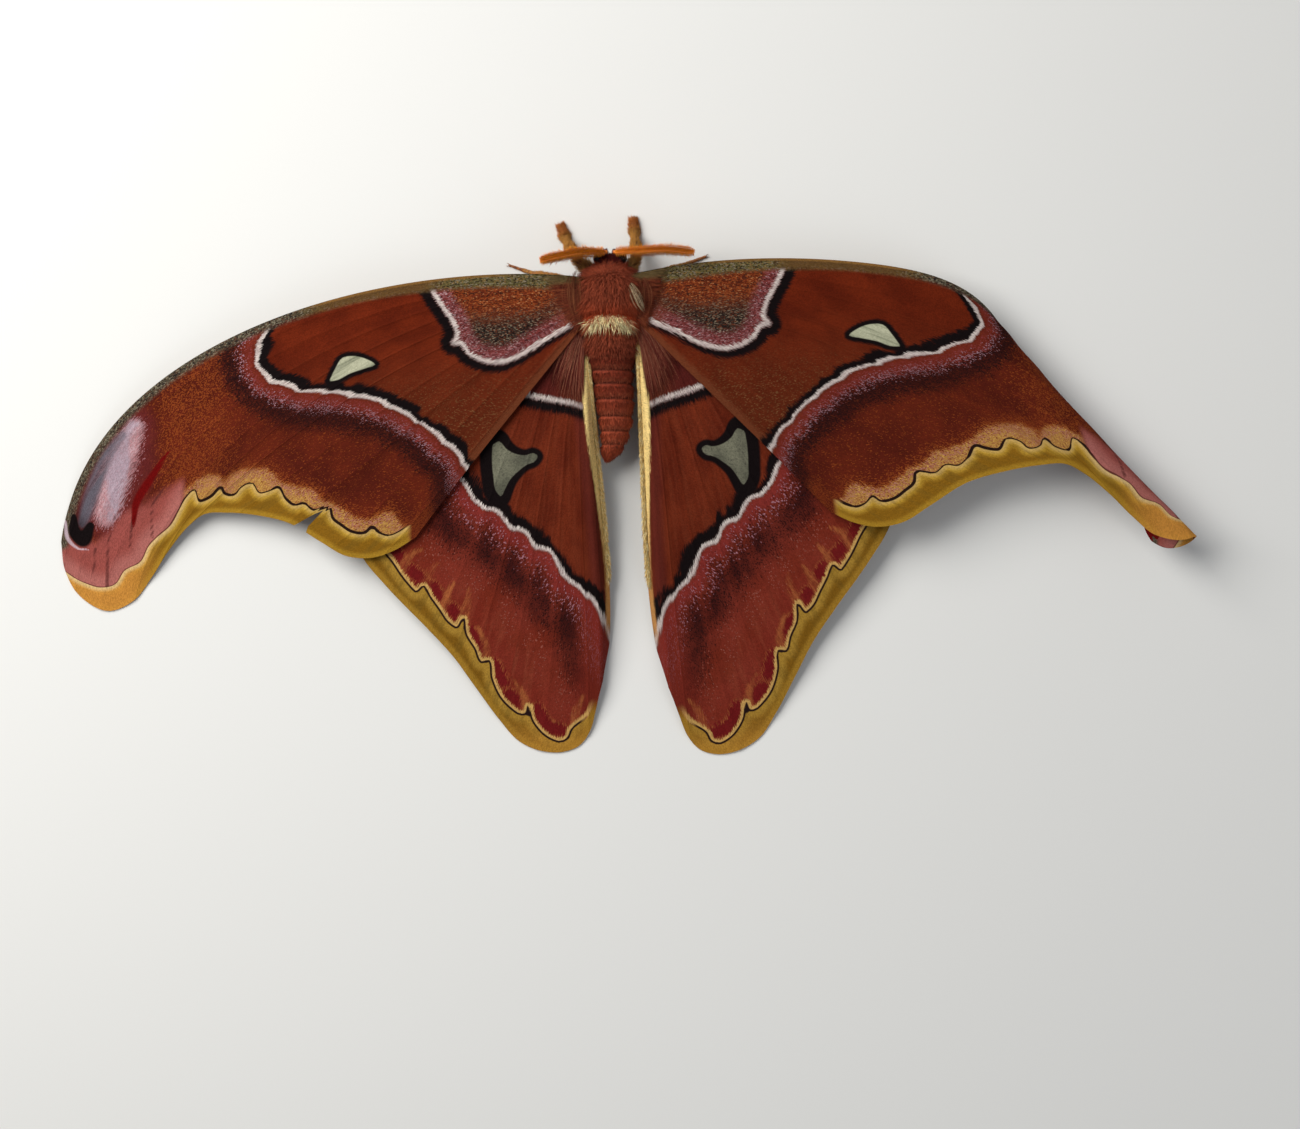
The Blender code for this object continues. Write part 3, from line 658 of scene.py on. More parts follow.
# %% Lines of the pattern, on the plan of the left wings
FORE_INNER_LINE = [
    (39, 5), (36.4, 0), (34.6, -2.6), (33, -5), (32.2, -7.6), (33, -9.4), (31.2, -9.7), (29.6, -11.6),
    (27, -13), (23, -13.6), (19.5, -12.6), (16.5, -11), (13.5, -9.1), (10.5, -7.4), (7, -5.4), (3, -3.2),
]
FORE_OUTER_LINE = [
    (69.5, 2), (71.4, -3.6), (72.6, -7), (74.4, -11.8), (73.6, -14.6), (71.4, -16.8), (68.4, -17.8),
    (64.5, -19), (59, -19.2), (54.5, -20), (48.4, -21.3), (44, -23.4), (40, -25.6), (35.6, -29),
    (31.7, -32.6), (30, -35.4), (29.4, -39), (29.4, -46),
]
FORE_WINDOW = [
    (59, -17.2), (57.6, -14.4), (56.2, -12.3), (53.6, -11.9), (51.4, -12.4), (49.2, -13.7),
    (51.6, -14.6), (54.6, -15.6), (57.4, -17),
]
FORE_TAN_EDGE = [
    (97, -46), (91, -40.5), (89, -39.4), (87, -37.8), (84.5, -37), (82.5, -37.4), (81.5, -39.2),
    (81, -38), (78, -36), (75, -35.6), (72, -36), (69.6, -38.2), (65.5, -39.6), (62.5, -40.2),
    (61, -42), (58, -43.2), (55.6, -44.8), (52.5, -46.4), (49.5, -46), (47.5, -45), (45.6, -45.2),
    (44, -47.6), (41, -47.6), (38, -45),
]
FORE_BORDER_LINE = [
    (119, -55), (112, -59.6), (108.5, -60.6), (105.5, -60), (103.4, -57), (100, -55.2), (98, -51.6),
    (96.4, -50), (93.4, -47.4), (91.4, -44), (90, -41.6), (88, -39.9), (87, -42.2), (84.6, -41.4),
    (82.2, -39.4), (81.6, -40.6), (79.4, -41), (78, -39.4), (75.6, -38.5), (74, -40.6), (72, -40.2),
    (70, -39.4), (68.4, -41.8), (66.6, -43.2), (64.5, -42.8), (62.6, -44.2), (59, -43.8), (58.4, -46),
    (56.6, -47.4), (54.6, -48.7), (51.6, -49), (50, -47.8), (48.6, -49), (46.6, -49.6), (44.4, -48.8),
    (42.5, -47.6), (38, -46),
]
HIND_INNER_LINE = [
    (44, -8), (34, -13), (24, -18.2), (16.5, -20.6), (13.5, -21.2), (10.5, -21.7), (7.4, -22.3),
    (5, -23.1), (0, -25.6),
]
HIND_OUTER_LINE = [
    (58, -22), (48, -25), (38, -30.5), (33, -35.5), (30, -39.4), (28.8, -41.6), (27, -43.2), (24.8, -43.8),
    (23, -45), (21.6, -46.8), (19.8, -48), (17.8, -48.8), (16.3, -50.5), (15, -52), (12.6, -52.8),
    (11, -54.4), (10, -56.6), (8.6, -59), (6.8, -60.2), (4.8, -61.8), (3.2, -63.6), (2, -65.6),
    (0.8, -68.6), (-0.6, -73), (-4, -80),
]
HIND_WINDOW = [
    (24.6, -30.6), (23.2, -29.8), (21.6, -31.4), (19.8, -32.4), (17.5, -32.7), (16, -32.3), (15, -32.9),
    (15.6, -34), (17.4, -34.8), (19.2, -36.2), (20.8, -37.8), (22, -40), (22.8, -41.4), (23.8, -40.4),
    (24.4, -37.4), (24.7, -34),
]
HIND_BORDER_LINE = [
    (58, -40), (52.5, -47), (48.4, -52.4), (46, -55.2), (44.4, -57.6), (42.4, -60.2), (40.9, -61.6),
    (39.4, -60.4), (38, -62.6), (36, -65.4), (34, -68.2), (32.4, -69.2), (31, -67.2), (30.4, -70.6),
    (28.6, -73.6), (27, -76.6), (25.8, -76.2), (25, -80), (23.2, -84), (21, -86.4), (19, -87.7),
    (17.9, -87.7), (17.3, -86), (16.4, -89), (14.8, -91.2), (12.5, -93), (10.4, -93.6), (9, -93),
    (8, -90.8), (6.6, -89.6), (5, -88.4), (3.2, -84.6), (1.8, -79), (0.4, -72.5), (0.2, -66),
]
print("points on the forewing's border line:", len(FORE_BORDER_LINE))

# %% Distances from the lines


def distance_from(points, line):
    """How far each point lies from a polyline, taking the nearest of its steps in turn."""
    best = np.full(len(points), np.inf)
    for start, end in zip(line[:-1], line[1:]):
        step = end - start
        share = np.clip((points - start) @ step / max(step @ step, TINY), 0.0, 1.0)
        best = np.minimum(best, np.linalg.norm(points - start - share[:, None] * step, axis=1))
    return best


def inside(points, outline):
    """True within a closed outline: a ray to one side crosses it an odd number of times."""
    odd = np.zeros(len(points), bool)
    for start, end in zip(outline, np.roll(outline, -1, axis=0)):
        spans = (start[1] > points[:, 1]) != (end[1] > points[:, 1])
        rise = end[1] - start[1] if end[1] != start[1] else TINY
        crossing = start[0] + (points[:, 1] - start[1]) / rise * (end[0] - start[0])
        odd ^= spans & (points[:, 0] < crossing)
    return odd


def beyond_line(points, line, around, steps=220):
    """Signed distance from a line, positive in the part that the far corners close off."""
    line = smooth_line(line, steps)
    outer = inside(points, np.concatenate([line, np.asarray(around, float)]))
    return np.where(outer, 1.0, -1.0) * distance_from(points, line)


def beyond_outline(points, outline, steps=120):
    """Signed distance from a closed outline, negative inside it."""
    line = smooth_line(list(outline) + [outline[0]], steps)
    return np.where(inside(points, line[:-1]), -1.0, 1.0) * distance_from(points, line)


def stroke(points, path, widths, steps=40):
    """A brush stroke: distance from the path as a share of the brush's half width there."""
    line = smooth_line(path, steps)
    radius = np.interp(np.linspace(0, 1, steps), np.linspace(0, 1, len(widths)), widths)
    gap = np.linalg.norm(points[:, None] - line[None], axis=2) / radius
    return gap.min(axis=1)


# %% What each point of a forewing knows
FAR_OUT = 200.0
BORDER_STEPS = 420
# Brush strokes: each is a path and the brush's half widths along it
FORE_STROKES = {
    "tip_spot": [([(114.2, -45.6), (113.8, -49.2), (112.4, -50.4), (110.6, -47.6)], (0.6, 1.3, 1.8, 0.9))],
    "tip_ticks": [([(116, -46.6), (115.4, -50.4), (113.2, -52.4), (111, -52.6)], (0.3, 0.5, 0.35, 0.2))],
    "blue_streak": [(
        [(103.4, -28.2), (106.7, -32.5), (109, -37.8), (111.1, -43.6), (112.2, -47)],
        (0.7, 1.1, 1.3, 1.3, 1),
    )],
    "pale_patch": [([(100.8, -26.8), (103.2, -32.4), (105.6, -38.6), (107.2, -45.4)], (1.8, 2.8, 2.9, 2.2))],
    "crimson_streak": [(
        [(93.2, -31.2), (96, -35.4), (98.3, -38.8), (100.4, -42.2), (101.4, -48.5)],
        (0.25, 0.6, 0.85, 0.75, 0.2),
    )],
    "lobe_fold": [
        ([(109.6, -52.4), (110.1, -59)], (0.4, 0.4)),
        ([(105.2, -45.4), (106.6, -50.4), (107.1, -60.6)], (0.3, 0.45, 0.5)),
        ([(101.4, -46), (102.2, -52)], (0.4, 0.4)),
        ([(94.4, -39.6), (96.8, -42.6), (97.3, -49.8)], (0.3, 0.45, 0.5)),
    ],
}


def strokes(plan, paths_and_widths, steps=40):
    """The nearest of several brush strokes."""
    return np.minimum.reduce([stroke(plan, path, widths, steps) for path, widths in paths_and_widths])


def edge_distances(plan, leading_edge, inner_edge, margin):
    """How far each point lies from the wing's three edges."""
    edges = {"from_costa": leading_edge, "from_inner_edge": inner_edge, "from_margin": margin}
    return {name: distance_from(plan, edge) for name, edge in edges.items()}


def forewing_markings(plan, *edges):
    """Distances and brush strokes of the forewing's pattern at points of its plan."""
    beyond = [(0, -FAR_OUT), (FAR_OUT, -FAR_OUT), (FAR_OUT, 60)]
    below = [(20, -60), (20, -FAR_OUT), (FAR_OUT, -FAR_OUT), (FAR_OUT, -52)]
    return {
        "inner_line": beyond_line(plan, FORE_INNER_LINE, beyond),
        "outer_line": beyond_line(plan, FORE_OUTER_LINE, beyond),
        "window": beyond_outline(plan, FORE_WINDOW),
        "tan_edge": beyond_line(plan, FORE_TAN_EDGE, below),
        "border_line": beyond_line(plan, FORE_BORDER_LINE, below, BORDER_STEPS),
        **edge_distances(plan, *edges),
        **{name: strokes(plan, table) for name, table in FORE_STROKES.items()},
    }


# %% What each point of a hindwing knows
HIND_RED_SPOTS = [
    [(46.4, -51.5), (44, -55.4)], [(42, -57), (39.6, -59)], [(37.4, -60.6), (35.4, -63.6)],
    [(33.4, -65.2), (31.6, -67.4)], [(29.2, -70.4), (27, -74)], [(24.4, -77.2), (22.8, -80.6)],
    [(21.4, -83.4), (18.4, -85.6)], [(15.4, -86.6), (13, -90.2), (10.2, -91.2)],
]
HIND_FLAMES = [
    [(47.6, -53.2), (45.8, -50), (43, -48.4)], [(43.8, -56.8), (42.4, -54), (39.6, -52.6)],
    [(39.3, -60.2), (38.2, -57.4), (36, -55.4)], [(35.4, -64.6), (34, -61.6), (33, -59.6)],
    [(31, -67), (30, -63.6), (29.6, -60.8)], [(26.2, -75.8), (26.6, -72), (27.8, -69)],
    [(17.8, -87), (18.4, -83.4), (20.2, -80.4)], [(7.4, -89.8), (7, -86.6), (5.4, -83.6)],
]


def hindwing_markings(plan, *edges):
    """Distances and brush strokes of the hindwing's pattern at points of its plan."""
    beyond = [(-60, -60), (-60, -FAR_OUT), (FAR_OUT, -FAR_OUT), (FAR_OUT, -8)]
    beyond_outer = [(-60, -90), (-60, -FAR_OUT), (FAR_OUT, -FAR_OUT), (FAR_OUT, -22)]
    below = [(-60, -66), (-60, -FAR_OUT), (FAR_OUT, -FAR_OUT), (FAR_OUT, -40)]
    return {
        "inner_line": beyond_line(plan, HIND_INNER_LINE, beyond),
        "outer_line": beyond_line(plan, HIND_OUTER_LINE, beyond_outer),
        "window": beyond_outline(plan, HIND_WINDOW),
        "border_line": beyond_line(plan, HIND_BORDER_LINE, below, BORDER_STEPS),
        **edge_distances(plan, *edges),
        "red_spots": strokes(plan, [(path, (1.5, 1.5)) for path in HIND_RED_SPOTS], 12),
        "flames": strokes(plan, [(path, (0.95, 0.7, 0.35)) for path in HIND_FLAMES], 16),
    }


# %% [markdown]
# ## The forewing's colours
#
# From the body outwards a forewing goes through five fields: a grizzled base, a white
# line edged with black, a brick-red field with a clear window, a second white line with
# black on its other side, and a rusty field that ends in tan scallops, a thin black line
# and a yellow border. The tip has pink lobes, a black eye and a crimson streak. The
# material lays these one over another in that order, as a painter would.

# %% Paint the forewing
BRICK_DEEP, BRICK = srgb(82, 25, 10), srgb(101, 34, 14)
BRICK_WARM, BRICK_REAR = srgb(108, 46, 24), srgb(74, 30, 14)
LINE_BLACK, LINE_WHITE, LINE_GREY = srgb(18, 12, 13), srgb(218, 210, 202), srgb(150, 126, 126)
FIELD_DARK, FIELD, ORANGE_GRAIN = srgb(74, 24, 15), srgb(94, 33, 18), srgb(140, 68, 28)
LAVENDER, PINK_GRAIN, BROWN_BLACK = srgb(146, 112, 122), srgb(126, 56, 56), srgb(28, 13, 13)
TAN, CREAM = srgb(166, 122, 60), srgb(206, 176, 122)
YELLOW, OCHRE, YELLOW_EDGE = srgb(178, 140, 50), srgb(128, 90, 22), srgb(156, 118, 36)
OLIVE, OLIVE_BROWN, GREY_GRAIN = srgb(90, 82, 50), srgb(90, 63, 34), srgb(116, 106, 88)
LOBE_PINK, LOBE_PINK_PALE, TIP_BLUE = srgb(146, 74, 68), srgb(166, 100, 94), srgb(92, 88, 98)
PALE_PINK, CRIMSON, UNDER_CRIMSON = srgb(190, 154, 160), srgb(96, 8, 8), srgb(96, 12, 14)
WINDOW_GREY, WINDOW_FOLD = srgb(176, 176, 150), srgb(132, 134, 112)
DUSTY = srgb(150, 104, 88)


def start_wing_paint(name):
    """A material with the wing's flow, scales and streaks ready, and its two shorthands."""
    material, paint, paint.shader = new_material(name, specular=0.03)
    flow = paint.vector("flow")
    scales = paint.use(SCALES, Flow=flow)
    streaks = paint.use(STREAKS, Fan=paint.vector("fan"), Reach=paint.value("reach"))
    paint.pick, paint.shade = scales.outputs["Pick"], scales.outputs["Shade"]
    paint.grain = paint.use(SCALES, Flow=flow, Length=0.36, Width=0.19).outputs["Pick"]
    paint.height = scales.outputs["Height"]
    paint.hair, paint.stroke, paint.cloud = (streaks.outputs[n] for n in ("Hair", "Stroke", "Cloud"))

    def band(distance, start, end, fray=0.6, softness=0.25):
        """1 between two distances, with both edges frayed along the hairs."""
        inputs = {"Distance": distance, "Hair": paint.hair, "From": start, "To": end}
        return paint.use(BAND, **inputs, Fray=fray, Softness=softness).outputs["Mask"]

    def sprinkle(density, pick=None):
        """1 in some of the scales, by a share of them."""
        return paint.use(SPRINKLE, Pick=pick or paint.pick, Density=density).outputs["Mask"]

    return material, paint, band, sprinkle


def finish_wing_paint(material, paint, clear):
    """Light and dark single scales, then colour, roughness and the scales' relief to the shader."""
    lit = paint.lit(paint.coat, paint.ramp(paint.shade, 0.0, 1.0, 0.85, 1.15))
    paint.feed(paint.shader.inputs["Base Color"], lit)
    paint.feed(paint.shader.inputs["Roughness"], paint.sum("MULTIPLY_ADD", clear, -0.42, 0.8))
    height = paint.sum("MULTIPLY_ADD", paint.hair, 0.25, paint.height)
    height = paint.times(height, paint.sum("SUBTRACT", 1.0, clear))
    paint.relief(paint.shader, height, 0.5, 0.1)
    return material


def paint_forewing(name, underside=False):
    """The forewing's pattern, from the base to the margin, the tip last."""
    material, paint, band, sprinkle = start_wing_paint(name)
    inner, outer, window = (paint.value(n) for n in ("inner_line", "outer_line", "window"))
    tan, border = paint.value("tan_edge"), paint.value("border_line")
    from_vein = paint.value("from_vein")
    costa, inner_edge, margin = (paint.value(n) for n in ("from_costa", "from_inner_edge", "from_margin"))
    out = paint.node("SeparateXYZ", {"Vector": paint.vector("plan")}).outputs["X"]
    ramp, times, lay = paint.ramp, paint.times, paint.lay
    second_pick = paint.sum("FRACT", paint.sum("ADD", paint.pick, paint.shade))
    # The second line is drawn out to a small point on every vein
    outer = paint.sum("ADD", outer, ramp(from_vein, 0.0, 2.0, -0.3, 0.1))

    # The red field between the white lines, browner and dusty behind
    paint.coat = paint.blend(paint.cloud, BRICK_DEEP, BRICK)
    lay(BRICK_REAR, ramp(costa, 14, 32, 0.0, 0.75))
    lay(BRICK_WARM, ramp(costa, 7, 20), ramp(paint.stroke, 0.0, 1.0, 0.16, 0.3))
    lay(BRICK_WARM, ramp(from_vein, 0.0, 0.35, 0.15, 0.0), ramp(costa, 4, 12))
    lay(srgb(118, 84, 52), sprinkle(0.10, second_pick), ramp(costa, 14, 30), 0.7)
    lay(srgb(106, 56, 34), band(inner_edge, -1, 1.4, 1.0, 0.6), 0.8)

    # The grizzled base: russet in front, then near black, rose along the white line
    base = ramp(inner, 0.2, -0.6)
    russet = [
        (3, srgb(96, 38, 20)), (2.4, srgb(128, 62, 30)), (1.5, srgb(58, 30, 22)), (0.4, srgb(156, 104, 66)),
    ]
    smoky = [(4, srgb(30, 24, 22)), (2, srgb(62, 50, 42)), (1, srgb(122, 108, 90)), (1.4, srgb(92, 46, 30))]
    rosy = [
        (3, srgb(108, 48, 46)), (2, srgb(130, 76, 78)), (0.6, srgb(158, 128, 130)), (1.4, srgb(66, 34, 34)),
    ]
    lay(paint.choose(paint.grain, russet), base)
    lay(paint.choose(paint.grain, smoky), base, band(costa, 9, 17, 1.6, 2.6), ramp(out, 8, 18))
    behind = times(base, band(inner, -6.5, -3.2, 1.6, 1.4), ramp(out, 26, 20), 0.7)
    lay(paint.choose(paint.grain, smoky), behind)
    lay(paint.choose(paint.grain, rosy), base, band(inner, -3.4, 1, 1.4, 1.0), ramp(out, 4, 12))
    lay(srgb(112, 56, 38), base, ramp(out, 13, 6.5), 0.85)

    # The rusty field beyond the second line: rose, lavender grains, then brown-black ones
    beyond = ramp(outer, 0.3, 1.2)
    lay(paint.blend(paint.cloud, FIELD_DARK, FIELD), beyond)
    glow = paint.sum("MAXIMUM", times(ramp(out, 74, 88), ramp(out, 99, 92)), ramp(tan, -4, -0.5, 0, 0.8))
    lay(ORANGE_GRAIN, beyond, sprinkle(ramp(glow, 0, 1, 0.08, 0.42)), 0.62)
    lay(srgb(112, 42, 32), beyond, band(outer, 0.3, 3.0, 1.2, 0.9), 0.7)
    lay(BROWN_BLACK, sprinkle(times(band(outer, 3.6, 7.6, 1.8, 2.0), 0.68), second_pick), beyond)
    lay(srgb(46, 18, 16), band(outer, 3.8, 7.8, 2.0, 2.2), beyond, 0.6)
    lay(LAVENDER, sprinkle(times(band(outer, 2.4, 4.4, 1.6, 1.0), 0.22)), beyond)
    lay(PINK_GRAIN, beyond, sprinkle(times(band(outer, 1.4, 3.8, 1.2, 1.0), 0.2), second_pick))

    # White lines with their black borders, whose far edges are shaggy and uneven
    whites = paint.blend(paint.hair, LINE_GREY, LINE_WHITE)
    front = ramp(costa, 1.2, 2.6)
    lay(LINE_BLACK, band(inner, 0.1, ramp(out, 8, 36, 1.0, 2.4), 0.9, 0.4), front)
    lay(whites, band(inner, -0.8, 0.12, 0.8, 0.2), front)
    black_from = ramp(paint.cloud, 0.15, 0.85, -2.7, -1.5)
    lay(LINE_BLACK, band(outer, black_from, -0.1, 1.0, 0.4), ramp(costa, 0.8, 2.0))
    white_from = ramp(paint.cloud, 0.15, 0.85, -0.62, -0.2)
    lay(whites, band(outer, white_from, 0.42, 0.6, 0.2), ramp(costa, 1.0, 2.4))

    # The window, bare of scales, in its black frame
    clear = ramp(window, 0.1, -0.15)
    lay(LINE_BLACK, band(window, -9, 0.95, 0.4, 0.3))
    lay(paint.blend(paint.stroke, WINDOW_GREY, WINDOW_FOLD), clear)

    # Tan scallops, the black line and the yellow border
    tan_zone = times(ramp(out, 91, 89), ramp(out, 41.5, 43.5))
    tans = [(5, TAN), (2, srgb(184, 140, 74)), (1.4, srgb(150, 92, 66)), (1.0, srgb(118, 58, 38))]
    tans = paint.choose(paint.pick, tans)
    shaggy = paint.ragged(tan, 1.0)
    lay(srgb(148, 82, 36), sprinkle(ramp(shaggy, -1.0, 0.1)), tan_zone, 0.8)
    lay(tans, sprinkle(ramp(shaggy, -0.25, 0.3), paint.grain), tan_zone)
    lay(srgb(112, 44, 34), sprinkle(0.36, second_pick), band(tan, -0.2, 1.5, 1.0, 0.5), tan_zone, 0.8)
    lay(srgb(176, 116, 100), sprinkle(0.3, paint.shade), band(tan, 0.1, 2.0, 1.0, 0.5), tan_zone, 0.9)

    # The tip: pale and blue-grey clouds, the crimson streak, pink lobes, the black eye
    pale = paint.value("pale_patch")
    lay(srgb(66, 30, 32), ramp(paint.value("blue_streak"), 3.4, 1.2), ramp(costa, 6, 3), 0.85)
    lay(srgb(92, 34, 34), ramp(pale, 3.6, 1.6), ramp(out, 92, 98), 0.8)
    pale = paint.ragged(pale, 0.5)
    lay(PALE_PINK, ramp(pale, 1.45, 0.5), ramp(paint.stroke, 0, 1, 0.6, 1.0))
    lay(srgb(166, 112, 116), sprinkle(times(ramp(pale, 2.0, 0.7), 0.36), paint.grain), 0.7)
    lay(srgb(150, 148, 164), ramp(paint.cloud, 0.4, 0.8), ramp(pale, 1.3, 0.5), 0.5)
    blue = paint.blend(ramp(margin, 9, 4), TIP_BLUE, srgb(44, 40, 46))
    lay(blue, ramp(paint.value("blue_streak"), 1.7, 0.6), ramp(paint.stroke, 0, 1, 0.6, 0.95))
    lobe_depth = ramp(out, 90, 104, 4.2, 9.4)
    lobes = times(ramp(out, 89.5, 91.5), ramp(paint.sum("ADD", border, lobe_depth), 0.0, 2.0))
    lay(paint.blend(ramp(border, -4, -1.0), LOBE_PINK, LOBE_PINK_PALE), lobes, 0.9)
    lay(srgb(84, 40, 38), ramp(paint.value("lobe_fold"), 1.2, 0.4), 0.75)
    lay(CRIMSON, ramp(paint.value("crimson_streak"), 1.5, 0.7))

    # The leading edge: grey and olive grains, plain olive-brown in the middle of its length
    olive = [(3, OLIVE), (2, srgb(52, 44, 30)), (1.2, GREY_GRAIN), (1, srgb(116, 92, 54))]
    ashen = [(3, srgb(76, 68, 54)), (2, srgb(42, 36, 33)), (1.4, srgb(118, 110, 92)), (1, srgb(86, 62, 48))]
    olive, ashen = (paint.choose(paint.grain, grains) for grains in (olive, ashen))
    edge_width = ramp(out, 10, 60, 3.0, 1.7)
    on_edge = ramp(paint.sum("SUBTRACT", costa, edge_width), 0.7, -0.7)
    lay(paint.blend(ramp(out, 60, 68), olive, ashen), on_edge, ramp(out, 3, 7))
    lay(OLIVE_BROWN, on_edge, ramp(out, 33, 40), ramp(out, 66, 58), 0.9)
    lay(srgb(134, 96, 50), ramp(costa, 0.7, 0.3), ramp(out, 18, 26), ramp(out, 66, 58), 0.8)
    lay(srgb(190, 168, 178), ramp(paint.value("tip_ticks"), 1.2, 0.5), 0.8)
    lay(LINE_BLACK, ramp(paint.value("tip_spot"), 1.2, 0.75))

    # The border last, as it runs over everything else
    yellows = paint.blend(ramp(border, 0.8, 2.2), YELLOW, OCHRE)
    yellows = paint.blend(times(ramp(paint.stroke, 0.4, 0.9), 0.45), yellows, srgb(112, 84, 28))
    yellows = paint.blend(ramp(margin, 1.5, 0.5), yellows, YELLOW_EDGE)
    yellows = paint.blend(times(ramp(out, 94, 104), 0.8), yellows, srgb(196, 134, 60))
    yellows = paint.blend(times(ramp(border, 1.3, 0.2), ramp(out, 86, 96, 0.45, 0.95)), yellows, CREAM)
    lay(yellows, ramp(border, 0.0, 0.2), ramp(out, 41.5, 43.0))
    line_ink = paint.blend(ramp(out, 90, 93), srgb(34, 20, 16), srgb(92, 48, 42))
    off_line = paint.sum("ABSOLUTE", border)
    line_width = times(ramp(paint.cloud, 0.2, 0.8, 0.12, 0.3), ramp(out, 90, 102, 1.0, 0.25))
    off_line = paint.sum("SUBTRACT", off_line, line_width)
    lay(line_ink, ramp(off_line, 0.1, -0.06), ramp(out, 42.0, 44.0))

    if underside:
        lay(DUSTY, 0.4)
        lay(UNDER_CRIMSON, ramp(out, 84, 92))
    return finish_wing_paint(material, paint, clear)


FOREWING_TOP = paint_forewing("forewing_scales")
FOREWING_UNDER = paint_forewing("forewing_underside", underside=True)
print("forewing nodes:", len(FOREWING_TOP.node_tree.nodes))

# %% [markdown]
# ## The hindwing's colours
#
# The hindwing repeats the forewing's order: a maroon base, a white line, a red field
# with its own window, a second white line and a darker crimson field. Its border differs.
# Between the black line and the field stands a row of dark red spots with orange flames
# between them. Along the abdomen the wing ends in a cream-coloured rolled edge.

# %% Paint the hindwing
MAROON, HIND_BROWN, HIND_RED = srgb(70, 23, 20), srgb(84, 28, 14), srgb(104, 40, 21)
CRIMSON_BROWN, CRIMSON_PALE, WINE_DARK = srgb(108, 38, 24), srgb(136, 66, 46), srgb(44, 16, 16)
SPOT_RED, FLAME_ORANGE = srgb(98, 14, 22), srgb(166, 98, 54)
STRIP_CREAM, STRIP_TAN = srgb(234, 204, 134), srgb(182, 130, 76)


